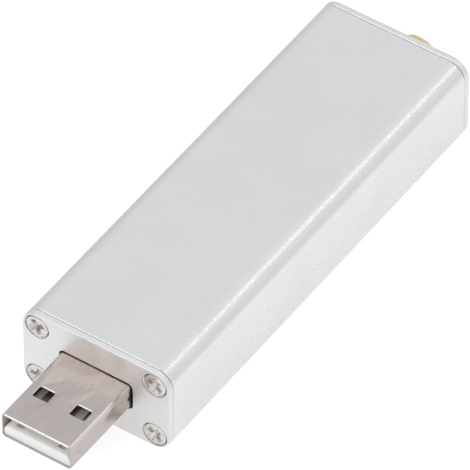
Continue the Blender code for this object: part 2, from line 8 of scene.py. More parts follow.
import bmesh
import bpy
from bpy.props import FloatProperty, FloatVectorProperty, IntProperty, PointerProperty
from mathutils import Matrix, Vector


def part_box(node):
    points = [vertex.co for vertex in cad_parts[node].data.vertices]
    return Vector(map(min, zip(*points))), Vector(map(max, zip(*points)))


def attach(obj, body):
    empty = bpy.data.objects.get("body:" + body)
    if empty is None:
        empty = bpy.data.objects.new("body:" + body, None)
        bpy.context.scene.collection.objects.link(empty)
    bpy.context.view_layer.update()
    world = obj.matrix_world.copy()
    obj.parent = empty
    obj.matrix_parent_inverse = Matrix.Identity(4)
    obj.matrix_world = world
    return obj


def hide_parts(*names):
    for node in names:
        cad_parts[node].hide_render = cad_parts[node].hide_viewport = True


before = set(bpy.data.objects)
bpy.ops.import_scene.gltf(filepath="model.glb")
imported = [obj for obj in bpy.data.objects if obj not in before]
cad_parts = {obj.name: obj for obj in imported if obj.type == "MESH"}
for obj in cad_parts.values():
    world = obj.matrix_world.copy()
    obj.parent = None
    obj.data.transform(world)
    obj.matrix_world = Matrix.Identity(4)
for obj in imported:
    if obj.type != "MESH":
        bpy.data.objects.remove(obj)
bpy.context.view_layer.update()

bl_info = {
    "name": "Stick spectrum analyzer",
    "version": (1, 0, 0),
    "blender": (4, 5, 0),
    "location": "3D View > Sidebar > Analyzer",
    "description": "Builds a stick spectrum analyzer and its studio round the CAD frame",
    "category": "Object",
}

MM = 0.001


def span(node, axis):
    """Lowest and highest coordinate of a CAD node on one axis."""
    low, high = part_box(node)
    return low[axis], high[axis]


# Stations that the CAD frame gives
CASE_HALF = span("case_tube", 1)[1]
CASE_HEIGHT = span("case_tube", 2)[1]
FRONT_OUTER, FRONT_INNER = span("front_plate", 0)
REAR_INNER, REAR_OUTER = span("rear_plate", 0)
SCREW_LENGTH = span("front_screw_1", 0)[1] - FRONT_OUTER
SCREW_Y = sum(span("front_screw_4", 1)) / 2
SCREW_Z_LOW = sum(span("front_screw_1", 2)) / 2
SCREW_Z_HIGH = sum(span("front_screw_4", 2)) / 2
PLUG_TIP, PLUG_REAR = span("plug_shell", 0)
PLUG_HALF = span("plug_shell", 1)[1]
LEG_FOOT, PLUG_TOP = span("plug_shell", 2)
TONGUE_REAR = span("plug_tongue", 0)[1]
TONGUE_TOP = span("plug_tongue", 2)[1]
BOARD_FRONT, BOARD_REAR = span("circuit_board", 0)
BOARD_HALF = span("circuit_board", 1)[1]
BOARD_BOTTOM, BOARD_TOP = span("circuit_board", 2)
SEAT = span("processor_chip", 2)[0]
FLANGE_FRONT, MOUTH_FLOOR = span("coax_dielectric", 0)
JACK_TIP = span("coax_jack_body", 0)[1]
JACK_HALF = span("coax_jack_body", 1)[1]
JACK_AXIS = sum(span("coax_dielectric", 2)) / 2

# Sizes that the CAD frame holds but does not name
CORNER = 3.0 * MM            # round of the case's long edges
WALL = 1.2 * MM
PORT_BORE = 0.9 * MM
PORT_RADIUS = 1.5 * MM
RIB_REACH = 1.1 * MM
RIB_HEIGHT = 0.8 * MM
GROOVE_GAP = 0.2 * MM
PLUG_HEIGHT = 4.5 * MM
PLUG_CORNER = 0.6 * MM
PLUG_SHEET = 0.3 * MM
PLUG_AXIS = PLUG_TOP - PLUG_HEIGHT / 2
LEG_LENGTH = 2.0 * MM
FLANGE_REAR = 41.0 * MM
JACK_RADIUS = 3.175 * MM
JACK_BORE = 2.05 * MM
JACK_MOUTH = 2.3 * MM


def linear(hex_colour):
    """Turn an sRGB hex colour into linear red, green, blue and alpha."""
    values = [int(hex_colour[i:i + 2], 16) / 255 for i in (1, 3, 5)]
    return [v / 12.92 if v <= 0.04045 else ((v + 0.055) / 1.055) ** 2.4 for v in values] + [1.0]


def put(tree, kind, inputs=None, out=0, **settings):
    """Add one node to a tree, with its settings and its inputs, each a value or a link.

    The result is one of its outputs, or the node itself where out is None.
    """
    made = tree.nodes.new(kind)
    for name, value in settings.items():
        setattr(made, name, value)
    for key, value in (inputs or {}).items():
        if isinstance(value, bpy.types.NodeSocket):
            tree.links.new(value, made.inputs[key])
        else:
            made.inputs[key].default_value = value
    return made if out is None else made.outputs[out]


def length(name, description, default):
    """A size in millimetres that a user can change."""
    return FloatProperty(
        name=name, description=description, default=default * MM, min=0.0, precision=5,
        subtype="DISTANCE", unit="LENGTH",
    )


def colour(name, description, default):
    """A colour that a user can change."""
    return FloatVectorProperty(
        name=name, description=description, default=linear(default), size=4,
        min=0.0, max=1.0, subtype="COLOR",
    )


class AnalyzerCase(bpy.types.PropertyGroup):
    """Sizes of the tube and its end plates."""

    seam: length("Front seam", "Gap that shows between the tube and the front plate", 0.04)
    rear_seam: length("Rear seam", "Gap that shows between the tube and the rear plate", 0.12)
    sawn_edge: length("Sawn edge", "Chamfer on the tube's ends", 0.06)
    port_edge: length("Port edge", "Chamfer at the mouth of a screw port", 0.24)
    plate_chamfer: length("Plate chamfer", "Chamfer round a plate's outer face", 0.05)
    plate_roll: length("Plate roll", "How far the front plate's edge is rolled in", 0.14)
    plate_back: length("Plate back", "Chamfer round a plate's inner face", 0.1)
    opening_edge: length("Opening edge", "Chamfer at a plate's opening", 0.08)
    opening_gap: length("Opening gap", "Room round the plug and the jack in a plate", 0.3)
    slot_drop: length("Slot drop", "How much lower than the plug its slot sits", 0.1)
    countersink: length("Countersink", "Radius of a countersink at the plate's face", 2.1)
    countersink_rim: length("Countersink rim", "Straight start of a countersink", 0.15)


class AnalyzerScrews(bpy.types.PropertyGroup):
    """Sizes of the countersunk screws."""

    head: length("Head radius", "Radius of the head", 1.84)
    sink: length("Sink", "Rim of the head under the plate's face", 0.1)
    dome: length("Dome", "Rise of the head above its rim", 0.16)
    rim: length("Rim", "Straight rim of the head", 0.15)
    core: length("Core radius", "Radius at the thread's root", 0.68)
    crest: length("Crest radius", "Radius at the thread's crest", 0.85)
    pitch: length("Pitch", "Thread pitch", 0.4)
    recess_span: length("Recess span", "Cross recess from arm end to arm end", 2.5)
    recess_width: length("Recess width", "Width of an arm of the recess", 0.8)
    recess_lip: length("Recess lip", "Broken edge round the recess", 0.1)
    recess_depth: length("Recess depth", "Depth of the recess", 0.9)
    front_turns: FloatVectorProperty(
        name="Front turns", description="How far each front screw is turned", size=4,
        default=(radians(38), radians(12), radians(28), radians(60)), unit="ROTATION",
    )
    rear_turns: FloatVectorProperty(
        name="Rear turns", description="How far each rear screw is turned", size=4,
        default=(radians(5), radians(51), radians(74), radians(23)), unit="ROTATION",
    )


class AnalyzerPlug(bpy.types.PropertyGroup):
    """Sizes of the host plug."""

    window_length: length("Window length", "Window along the plug", 2.1)
    window_width: length("Window width", "Window across the plug", 2.6)
    window_corner: length("Window corner", "Round of a window's corners", 0.3)
    window_setback: length("Window setback", "Window middle behind the plug's front", 6.4)
    window_pitch: length("Window pitch", "Distance between the windows", 6.3)
    window_edge: length("Window edge", "Chamfer round a window", 0.12)
    window_flare: FloatProperty(
        name="Window flare", default=1.73,
        description="How much flatter the long edges of a window are broken",
    )
    lip: length("Lip", "Chamfer of the shell's front edge", 0.1)
    tongue_setback: length("Tongue setback", "Tongue behind the plug's front", 0.15)
    dimple: length("Dimple", "Radius of the pressed mark on each side", 0.32)
    dimple_setback: length("Dimple setback", "Pressed mark behind the plug's front", 2.2)
    latch_setback: length("Latch setback", "Latch hole behind the plug's front", 14.0)
    latch_hole: length("Latch hole", "Length of the latch hole", 0.6)
    fold_gap: length("Fold gap", "Gap of the seam under the shell", 0.07)


class AnalyzerJack(bpy.types.PropertyGroup):
    """Sizes of the coaxial jack."""

    pitch: length("Pitch", "Thread pitch", 0.7056)
    thread_depth: length("Thread depth", "Crest to root", 0.36)
    thread_start: length("Thread start", "Plain barrel outside the plate", 0.9)
    tip_chamfer: length("Tip chamfer", "Chamfer at the barrel's end", 0.3)
    slot_width: length("Slot width", "Slits of the socket pin", 0.16)


class AnalyzerBoardSizes(bpy.types.PropertyGroup):
    """Sizes of the circuit board and the soft and drawn parts on it."""

    corner: length("Board corner", "Round of the board's corners", 0.6)
    edge: length("Board edge", "Broken edge of the board", 0.06)
    copper: length("Copper", "Rise of a track above the board", 0.035)
    signal_width: length("Signal width", "Width of a signal track", 0.22)
    power_width: length("Power width", "Width of a power track", 0.9)
    strip_width: length("Strip width", "Width of the ground strips", 1.1)
    strip_at: length("Strip place", "Ground strips from the board's middle", 9.5)
    via: length("Via", "Radius of a via's pad", 0.32)
    lid_edge: length("Lid edge", "Round of the shield lid's edge", 0.28)
    hole_radius: length("Hole radius", "Holes in the shield lid", 0.5)
    hole_pitch: length("Hole pitch", "Distance between the holes", 2.1)
    holes_along: IntProperty(name="Holes along", description="Holes along the lid", default=9, min=1)
    holes_across: IntProperty(name="Holes across", description="Holes across the lid", default=6, min=1)
    pad_bulge: length("Pad bulge", "How far the heat pad's sides bulge", 0.4)


class AnalyzerFinishes(bpy.types.PropertyGroup):
    """Colours of the finishes."""

    tube: colour("Tube", "Bead-blasted anodised aluminium", "#e3e4e6")
    plate: colour("Plate", "Satin aluminium", "#e4e4e4")
    screw: colour("Screw", "Bright nickel", "#dfdbd7")
    shell: colour("Shell", "Nickel on rolled steel", "#c3bbb8")
    gold: colour("Gold", "Gold plate", "#d9c69a")
    contact: colour("Contact", "Gold flash on rolled bronze", "#d8c6a6")
    plastic: colour("Plastic", "White moulded plastic", "#f4f5f3")
    ptfe: colour("PTFE", "Turned PTFE", "#f1f1ed")
    mask: colour("Mask", "Solder mask on bare laminate", "#1c5a39")
    track: colour("Track", "Solder mask over copper", "#2b7a4b")
    laminate: colour("Laminate", "Sawn glass laminate", "#c2b583")
    tin: colour("Tin", "Solder and tinned leads", "#cfd0d2")
    can: colour("Can", "Tinplate of the shield", "#c9cbca")
    epoxy: colour("Epoxy", "Moulded chip bodies", "#222224")
    ceramic: colour("Ceramic", "Capacitor ceramic", "#b2946d")
    alumina: colour("Alumina", "White ceramic bases", "#dcd9d0")
    film: colour("Film", "Thick film of a resistor", "#1e1e22")
    tantalum: colour("Tantalum", "Moulded tantalum capacitors", "#d39a34")
    band: colour("Band", "Polarity band", "#8a4a1d")
    ferrite: colour("Ferrite", "Pressed ferrite", "#434346")
    silicone: colour("Silicone", "Heat pad", "#8fa0ad")


# Where most values of a noise texture lie, for the drift of a colour and for the grit of a surface
CLOUD_RANGE = (0.3, 0.62)
GRIT_RANGE = (0.3, 0.7)


def finish(
    name, tint, deep, roughness, grain, relief,
    mottle=3.0, drawn=(1, 1, 1), spread=0.05, **shader,
):
    """A finish whose colour drifts to a deeper one, over a surface of fine grains or drawn lines.

    grain and mottle are real sizes in millimetres, relief is the grain's depth, and drawn squeezes the
    grain on an axis.
    """
    found = bpy.data.materials.get(name)
    if found:
        return found
    made = bpy.data.materials.new(name)
    made.use_nodes = True
    tree = made.node_tree
    sockets = tree.nodes["Principled BSDF"].inputs
    spot = put(tree, "ShaderNodeTexCoord", out="Object")
    lay = put(tree, "ShaderNodeMapping", {"Vector": spot, "Scale": drawn})
    cloud = put(tree, "ShaderNodeTexNoise", {"Vector": lay, "Scale": 1 / (mottle * MM), "Detail": 3.0})
    grit = put(tree, "ShaderNodeTexNoise", {"Vector": lay, "Scale": 1 / (grain * MM), "Detail": 2.0})
    drift = put(tree, "ShaderNodeValToRGB", {"Fac": cloud}, out=None)
    for stop, position, hue in zip(drift.color_ramp.elements, CLOUD_RANGE, (deep, tint)):
        stop.position = position
        stop.color = hue
    gloss = put(tree, "ShaderNodeMapRange", {
        "Value": grit, "From Min": GRIT_RANGE[0], "From Max": GRIT_RANGE[1],
        "To Min": roughness - spread, "To Max": roughness + spread,
    })
    bump = put(tree, "ShaderNodeBump", {"Strength": 1.0, "Distance": relief * MM, "Height": grit})
    tree.links.new(drift.outputs["Color"], sockets["Base Color"])
    tree.links.new(gloss, sockets["Roughness"])
    tree.links.new(bump, sockets["Normal"])
    for key, value in shader.items():
        sockets[key].default_value = value
    return made


METAL = {"Metallic": 1.0}

# Each finish by its colour's name: the material's name, how dark its colour drifts, roughness, grain,
# relief, and the rest, with sizes in millimetres. The comment says what the eye gets from it.
RECIPES = {
    # Bead-blasted, clear-anodised aluminium: pale, even and softly glossy, with a fine sparkle. The
    # blast marks are about 0.1 mm; they are drawn at 0.22 mm, as coarse as they need to show.
    "tube": (
        "anodised_aluminium_bead_blasted", 0.96, 0.27, 0.22, 0.034, {"mottle": 9.0, **METAL}),
    # Sheet aluminium, satin etched and anodised: smoother than the tube, with blurred reflections
    "plate": (
        "aluminium_sheet_satin_anodised", 0.96, 0.42, 0.2, 0.006, {"mottle": 5.0, **METAL}),
    # Bright nickel on cold-headed steel: sharp warm reflections and faint forming marks
    "screw": ("steel_bright_nickel_plated", 0.85, 0.13, 0.3, 0.01, {"mottle": 0.8, **METAL}),
    # Dull nickel on rolled sheet: warm grey, with faint rolling lines along the plug
    "shell": (
        "rolled_steel_nickel_plated", 0.93, 0.26, 0.16, 0.0015,
        {"mottle": 0.9, "drawn": (0.35, 1, 1), "spread": 0.03, **METAL}),
    # Gold on turned brass: warm and bright, with fine tool marks round the axis
    "gold": (
        "brass_gold_plated", 0.9, 0.22, 0.12, 0.002,
        {"mottle": 1.0, "drawn": (3, 0.4, 0.4), **METAL}),
    # A thin gold flash on rolled bronze strip: dull, with lines along the strip
    "contact": (
        "bronze_strip_gold_flashed", 0.9, 0.45, 0.1, 0.004,
        {"mottle": 0.8, "drawn": (0.3, 2, 2), **METAL}),
    # Injection-moulded white polyester: smooth satin from the mould
    "plastic": ("polyester_white_moulded", 0.93, 0.42, 0.1, 0.002, {"mottle": 1.5, "IOR": 1.57}),
    # Turned PTFE: waxy white, with soft rings from the tool
    "ptfe": ("ptfe_white_turned", 0.95, 0.5, 0.15, 0.003, {"IOR": 1.35}),
    # Cured ink on woven glass: deep glossy green, faintly wavy from the weave under it
    "mask": ("solder_mask_green_gloss", 0.82, 0.3, 0.5, 0.012, {"mottle": 2.5, "IOR": 1.52}),
    # The same ink over copper: a lighter, livelier green
    "track": ("solder_mask_green_over_copper", 0.85, 0.27, 0.4, 0.008, {"IOR": 1.52}),
    # Sawn edge of the laminate: straw-coloured layers of glass, drawn along the board
    "laminate": (
        "glass_laminate_sawn", 0.75, 0.7, 0.2, 0.02, {"mottle": 0.5, "drawn": (0.2, 0.2, 2)}),
    # Reflowed tin solder: pale, slightly frosted metal
    "tin": ("tin_solder_reflowed", 0.85, 0.3, 0.12, 0.006, {"mottle": 0.5, **METAL}),
    # Rolled tinplate: bright grey sheet with fine lines along it
    "can": (
        "tinplate_rolled", 0.92, 0.26, 0.2, 0.002, {"drawn": (0.15, 1, 1), "spread": 0.04, **METAL}),
    # Moulded epoxy, spark-eroded mould: near black and finely matt
    "epoxy": ("epoxy_black_moulded", 0.7, 0.58, 0.09, 0.012, {"mottle": 1.2, "IOR": 1.55}),
    # Fired barium titanate: tan, dense and faintly cloudy
    "ceramic": ("ceramic_tan_fired", 0.85, 0.45, 0.08, 0.004, {"mottle": 0.6, "IOR": 1.6}),
    # Fired alumina: chalky off-white
    "alumina": ("alumina_white_fired", 0.92, 0.6, 0.08, 0.006, {"mottle": 0.7, "IOR": 1.7}),
    # Overglazed resistor film: black, smooth and glassy
    "film": ("thick_film_black_glazed", 0.7, 0.25, 0.15, 0.004, {"mottle": 0.5, "IOR": 1.5}),
    # Moulded tantalum case: warm yellow, finely matt
    "tantalum": ("epoxy_yellow_moulded", 0.85, 0.5, 0.09, 0.008, {"mottle": 1.0, "IOR": 1.55}),
    # Laser-dulled polarity band: brown in the yellow
    "band": ("epoxy_brown_band", 0.85, 0.6, 0.08, 0.004, {"mottle": 0.4, "IOR": 1.55}),
    # Pressed and tumbled ferrite: dark grey and finely pitted
    "ferrite": ("ferrite_grey_pressed", 0.75, 0.55, 0.12, 0.02, {"mottle": 0.8, "IOR": 2.0}),
    # Filled silicone: dull blue grey and rubbery, with a fine skin
    "silicone": ("silicone_grey_filled", 0.9, 0.72, 0.2, 0.02, {"mottle": 2.0, "IOR": 1.42}),
}


def surface(key):
    """The finish that has a colour's name."""
    name, drift, *numbers, rest = RECIPES[key]
    tint = list(getattr(bpy.context.scene.analyzer_finishes, key))
    deep = [value * drift for value in tint[:3]] + [1.0]
    return finish(name, tint, deep, *numbers, **rest)


def arc(centre, radius, start, end, steps):
    """Points on an arc, both ends included, angles in degrees."""
    turns = [radians(start + (end - start) * i / steps) for i in range(steps + 1)]
    return [(centre[0] + radius * cos(t), centre[1] + radius * sin(t)) for t in turns]


def circle(centre, radius, steps):
    """Points of a closed circle."""
    turns = [2 * pi * i / steps for i in range(steps)]
    return [(centre[0] + radius * cos(t), centre[1] + radius * sin(t)) for t in turns]


def rounded(centre, width, height, radius, steps=6):
    """Points of a rectangle with round corners."""
    u = width / 2 - radius
    v = height / 2 - radius
    points = []
    for du, dv, start in ((u, v, 0), (-u, v, 90), (-u, -v, 180), (u, -v, 270)):
        points += arc((centre[0] + du, centre[1] + dv), radius, start, start + 90, steps)
    return points


def rectangle(u0, u1, v0, v1):
    """Points of a plain rectangle."""
    return [(u0, v0), (u1, v0), (u1, v1), (u0, v1)]


def ring(mesh, points, station, axis):
    """Add one closed loop of points, square to an axis."""
    place = {
        "X": lambda u, v: (station, u, v),
        "Y": lambda u, v: (u, station, v),
        "Z": lambda u, v: (u, v, station),
    }[axis]
    return [mesh.verts.new(place(u, v)) for u, v in points]


def bridge(mesh, near, far):
    """Join two loops that have the same number of points."""
    for i in range(len(near)):
        mesh.faces.new((near[i - 1], near[i], far[i], far[i - 1]))


def cap(mesh, *loops):
    """Close a flat face whose outline and holes are the given loops."""
    edges = []
    for loop in loops:
        for i in range(len(loop)):
            edges.append(mesh.edges.get((loop[i - 1], loop[i])) or mesh.edges.new((loop[i - 1], loop[i])))
    bmesh.ops.triangle_fill(mesh, edges=edges, use_beauty=True)


def chain(mesh, sections, axis="X"):
    """Bridge single loops, each a station and its points, and return the first and the last."""
    rings = [ring(mesh, points, station, axis) for station, points in sections]
    for near, far in zip(rings, rings[1:]):
        bridge(mesh, near, far)
    return rings[0], rings[-1]


def broken_ends(start, end, edge):
    """Stations of a bar with broken ends, each with what its outline loses there."""
    return ((start, edge), (start + edge, 0.0), (end - edge, 0.0), (end, edge))


def loft(sections, axis="X"):
    """A closed solid through sections, each a station and its loops, outline first and then holes."""
    mesh = bmesh.new()
    add_loft(mesh, sections, axis)
    return mesh


def add_loft(mesh, sections, axis="X"):
    """Add a closed solid to a working mesh."""
    stations = [station for station, _ in sections]
    first = []
    last = []
    for loops in zip(*[loops for _, loops in sections]):
        start, end = chain(mesh, list(zip(stations, loops)), axis)
        first.append(start)
        last.append(end)
    cap(mesh, *first)
    cap(mesh, *last)


SHARP = 32                   # degrees past which an edge is sharp


def shade(data, angle=SHARP):
    """Shade mesh data smooth but for edges past an angle in degrees."""
    data.shade_smooth()
    data.set_sharp_from_angle(angle=radians(angle))


def mesh_data(name, mesh, angle=SHARP):
    """Turn a working mesh into mesh data, faces out and shaded."""
    bmesh.ops.recalc_face_normals(mesh, faces=mesh.faces)
    data = bpy.data.meshes.new(name)
    mesh.to_mesh(data)
    mesh.free()
    shade(data, angle)
    return data


def show(name, data):
    """Put data in the scene as an object at the origin."""
    made = bpy.data.objects.new(name, data)
    bpy.context.scene.collection.objects.link(made)
    return made


def settle(made):
    """Replace an object's mesh by what its modifiers make of it, and drop the modifiers."""
    depsgraph = bpy.context.evaluated_depsgraph_get()
    data = bpy.data.meshes.new_from_object(made.evaluated_get(depsgraph))
    made.modifiers.clear()
    old = made.data
    made.data = data
    bpy.data.meshes.remove(old)
    return made


def carve(made, tools):
    """Cut or join solids, each an operation and a working mesh, and shade the result."""
    helpers = []
    for operation, mesh in tools:
        helper = show("tool", mesh_data("tool", mesh))
        helpers.append(helper)
        modifier = made.modifiers.new("shape", "BOOLEAN")
        modifier.object = helper
        modifier.operation = operation
        modifier.solver = "EXACT"
    settle(made)
    for helper in helpers:
        data = helper.data
        bpy.data.objects.remove(helper)
        bpy.data.meshes.remove(data)
    shade(made.data)
    return made


def place(made, body, slot, material, *nodes):
    """Give a finished piece its material, tie it to its body, and hide the CAD it stands for.

    Its slot is not used.
    """
    if material:
        made.data.materials.clear()
        made.data.materials.append(material)
    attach(made, body)
    if nodes:
        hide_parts(*nodes)
    return made


def piece(name, mesh, slot, key, *nodes, body="chassis", tools=()):
    """Make a finished piece of a body from a working mesh and the solids that cut it or join it."""
    made = show(name, mesh_data(name, mesh))
    if tools:
        carve(made, tools)
    return place(made, body, slot, surface(key), *nodes)


# A thread's flanks, against a plain saw-tooth: how much steeper they are, and how flat its root is
FLANK_SLOPE = 1.5
ROOT_FLAT = 0.3


def thread(start, end, base, crest, root, pitch, around, axis_at=(0, 0), per_pitch=8):
    """Sections of a single-start thread along +X that fades in from a base radius and out to it."""
    count = int((end - start) / pitch * per_pitch) + 1
    sections = []
    for step in range(count + 1):
        along = (end - start) * step / count
        fade = min(1.0, along / pitch, (end - start - along) / pitch)
        points = []
        for index in range(around):
            turn = index / around
            phase = along / pitch - turn
            wave = 1 - abs(2 * (phase - floor(phase)) - 1)
            rise = max(0.0, min(1.0, wave * FLANK_SLOPE - ROOT_FLAT))
            radius = base + fade * (root + (crest - root) * rise - base)
            points.append((
                axis_at[0] + radius * cos(2 * pi * turn), axis_at[1] + radius * sin(2 * pi * turn),
            ))
        sections.append((start + along, points))
    return sections


def case_outline(inset=0.0):
    """The outline shared by the tube and both plates."""
    size = (2 * (CASE_HALF - inset), CASE_HEIGHT - 2 * inset)
    return rounded((0, CASE_HEIGHT / 2), *size, CORNER - inset, 14)


def screw_centres():
    """The four screw axes of one end."""
    return [(y, z) for z in (SCREW_Z_LOW, SCREW_Z_HIGH) for y in (-SCREW_Y, SCREW_Y)]


def cavity_outline():
    """The inside of the tube: four screw ports, and a ledge and a rib for each board edge."""
    inner = CASE_HALF - WALL
    port_side = SCREW_Y - PORT_RADIUS
    ledge = SCREW_Z_LOW + PORT_RADIUS
    rib_low = BOARD_TOP + GROOVE_GAP
    rib_high = rib_low + RIB_HEIGHT
    nose = RIB_HEIGHT / 4
    tip = inner - RIB_REACH + nose
    side = [(port_side, WALL)]
    side += arc((SCREW_Y, SCREW_Z_LOW), PORT_RADIUS, 180, 90, 12)
    side += [(inner, ledge), (inner, rib_low)]
    side += arc((tip, rib_low + nose), nose, 270, 180, 4)
    side += arc((tip, rib_high - nose), nose, 180, 90, 4)
    side += [(inner, rib_high), (inner, CASE_HEIGHT - ledge)]
    side += arc((SCREW_Y, SCREW_Z_HIGH), PORT_RADIUS, 270, 180, 12)
    side += [(port_side, CASE_HEIGHT - WALL)]
    return side + [(-y, z) for y, z in reversed(side)]


class AnalyzerTube(bpy.types.Operator):
    """Make the extruded tube of the case"""

    bl_idname = "analyzer.tube"
    bl_label = "Case tube"

    def execute(self, context):
        case = context.scene.analyzer_case
        front = FRONT_INNER + case.seam
        rear = REAR_INNER - case.rear_seam

        def section(depth):
            outline = case_outline(max(0.0, case.sawn_edge - depth))
            bore = PORT_BORE + max(0.0, case.port_edge - depth)
            return [outline, cavity_outline()] + [circle(centre, bore, 24) for centre in screw_centres()]

        depths = (0.0, case.sawn_edge, case.port_edge)
        sections = [(front + depth, section(depth)) for depth in depths]
        sections += [(rear - depth, section(depth)) for depth in reversed(depths)]
        piece("case_tube_extruded", loft(sections), "anodised_aluminium", "tube", "case_tube", body="case")
        return {"FINISHED"}


ROLLED_SHARE = 0.55          # how much of a plate's thickness its rolled edge takes


def plate_mesh(case, opening, outer, inner, rolled_in):
    """One end plate from its outer face inwards, with its opening and four countersinks."""
    inward = 1 if inner > outer else -1
    thick = abs(inner - outer)
    rim = case.countersink_rim
    rolled = ROLLED_SHARE * thick
    depths = sorted((
        0.0, case.opening_edge, case.plate_chamfer, rim, rolled, thick - case.plate_back, thick))
    sections = []
    for depth in depths:
        left = thick - depth
        roll = rolled_in * max(0.0, 1 - depth / rolled)
        inset = roll + max(0.0, case.plate_chamfer - depth, case.plate_back - left)
        loops = [case_outline(inset), opening(max(0.0, case.opening_edge - depth))]
        hole = case.countersink - max(0.0, depth - rim)
        loops += [circle(centre, hole, 40) for centre in screw_centres()]
        sections.append((outer + inward * depth, loops))
    return loft(sections)


class AnalyzerPlates(bpy.types.Operator):
    """Make the two end plates"""

    bl_idname = "analyzer.plates"
    bl_label = "End plates"

    def execute(self, context):
        case = context.scene.analyzer_case
        gap = case.opening_gap

        def slot(edge):
            return [(y, z - case.slot_drop) for y, z in plug_outline(-gap - edge)]

        def hole(edge):
            return circle((0, JACK_AXIS), JACK_RADIUS + gap + edge, 64)

        for end, opening, outer, inner, rolled_in in (
            ("front", slot, FRONT_OUTER, FRONT_INNER, case.plate_roll),
            ("rear", hole, REAR_OUTER, REAR_INNER, 0.0),
        ):
            mesh = plate_mesh(case, opening, outer, inner, rolled_in)
            piece(
                f"{end}_plate_satin", mesh, "satin_aluminium", "plate", f"{end}_plate",
                body=f"{end}_cover")
        return {"FINISHED"}


def cross(span_across, width, nick):
    """Points of a cross with four equal arms and its inner corners cut off."""
    s = span_across / 2
    w = width / 2
    points = []
    for quarter in range(4):
        for u, v in ((s, -w), (s, w), (w + nick, w), (w, w + nick)):
            for _ in range(quarter):
                u, v = -v, u
            points.append((u, v))
    return points


# A screw's raised face, from the middle out to its rim: share of the head's radius and of the dome's rise
SCREW_FACE = ((0.74, 1.0), (0.86, 0.75), (0.94, 0.4), (0.985, 0.12), (1.0, -0.3))
SCREW_SHARP = 28             # degrees past which an edge of a screw is sharp


def screw_mesh(sizes):
    """A raised countersunk screw along +X from its rim's plane, with a cross recess and a thread."""
    mesh = bmesh.new()
    around = 40
    point = 0.5 * MM
    nick = 0.12 * MM
    bed_share = 0.62
    neck = sizes.rim + sizes.head - sizes.core
    end = SCREW_LENGTH - sizes.sink
    sections = []
    for share, rise in SCREW_FACE:
        sections.append((-rise * sizes.dome, circle((0, 0), sizes.head * share, around)))
    sections.append((sizes.rim, circle((0, 0), sizes.head, around)))
    sections += thread(neck, end - point, sizes.core, sizes.crest, sizes.core, sizes.pitch, around)
    sections.append((end, circle((0, 0), sizes.core * 0.6, around)))
    face, tip = chain(mesh, sections)
    deep = sizes.recess_depth - sizes.dome
    lip = sizes.recess_lip
    recess = []
    for depth, wider, share in (
        (-sizes.dome, 2 * lip, 1.0), (lip - sizes.dome, 0.0, 1.0), (deep, 0.0, bed_share),
    ):
        size = (sizes.recess_span * share + wider, sizes.recess_width * share + wider)
        recess.append((depth, cross(*size, nick * share)))
    mouth, bed = chain(mesh, recess)
    middle = mesh.verts.new((deep + nick, 0, 0))
    for i in range(len(bed)):
        mesh.faces.new((bed[i - 1], bed[i], middle))
    cap(mesh, face, mouth)
    cap(mesh, tip)
    return mesh_data("end_screw", mesh, SCREW_SHARP)


def make_tree(name, sockets):
    """An empty Geometry Nodes tree with named inputs, and its input and output nodes."""
    tree = bpy.data.node_groups.new(name, "GeometryNodeTree")
    tree.interface.new_socket(name="Geometry", in_out="INPUT", socket_type="NodeSocketGeometry")
    tree.interface.new_socket(name="Geometry", in_out="OUTPUT", socket_type="NodeSocketGeometry")
    for label, kind in sockets:
        tree.interface.new_socket(name=label, in_out="INPUT", socket_type="NodeSocket" + kind)
    return tree, put(tree, "NodeGroupInput", out=None).outputs


def finish_tree(tree, geometry, material):
    """End a tree in real geometry with its material."""
    real = put(tree, "GeometryNodeRealizeInstances", {"Geometry": geometry})
    done = put(tree, "GeometryNodeSetMaterial", {"Geometry": real, "Material": material})
    put(tree, "NodeGroupOutput", {"Geometry": done}, out=None)
    return tree


def grow(name, data, tree, values, angle=SHARP):
    """Run a tree on mesh data and return the result as an object with a plain mesh."""
    made = show(name, data)
    modifier = made.modifiers.new("grow", "NODES")
    modifier.node_group = tree
    for socket in tree.interface.items_tree:
        if socket.in_out == "INPUT" and socket.name in values:
            modifier[socket.identifier] = values[socket.name]
    settle(made)
    shade(made.data, angle)
    return made


def screw_tree():
    """Four screws at the corners of a rectangle in an end plate, each with its own turn."""
    turns = [(f"Turn {i}", "Float") for i in range(1, 5)]
    tree, given = make_tree("end_screws", [
        ("Across", "Float"), ("Up", "Float"), ("Middle", "Vector"), ("Facing", "Float"),
        ("Finish", "Material"),
    ] + turns)
    corners = put(tree, "GeometryNodeMeshGrid", {
        "Size X": given["Up"], "Size Y": given["Across"], "Vertices X": 2, "Vertices Y": 2,
    })
    upright = put(tree, "GeometryNodeTransform", {
        "Geometry": corners, "Translation": given["Middle"], "Rotation": (0, -pi / 2, 0),
    })
    index = put(tree, "GeometryNodeInputIndex")
    turn = put(tree, "GeometryNodeIndexSwitch", out=None, data_type="FLOAT")
    turn.index_switch_items.new()
    turn.index_switch_items.new()
    tree.links.new(index, turn.inputs["Index"])
    for i in range(4):
        tree.links.new(given[f"Turn {i + 1}"], turn.inputs[str(i)])
    facing = put(tree, "ShaderNodeCombineXYZ", {"X": turn.outputs[0], "Z": given["Facing"]})
    screws = put(tree, "GeometryNodeInstanceOnPoints", {
        "Points": upright, "Instance": given["Geometry"], "Rotation": facing,
    })
    return finish_tree(tree, screws, given["Finish"])


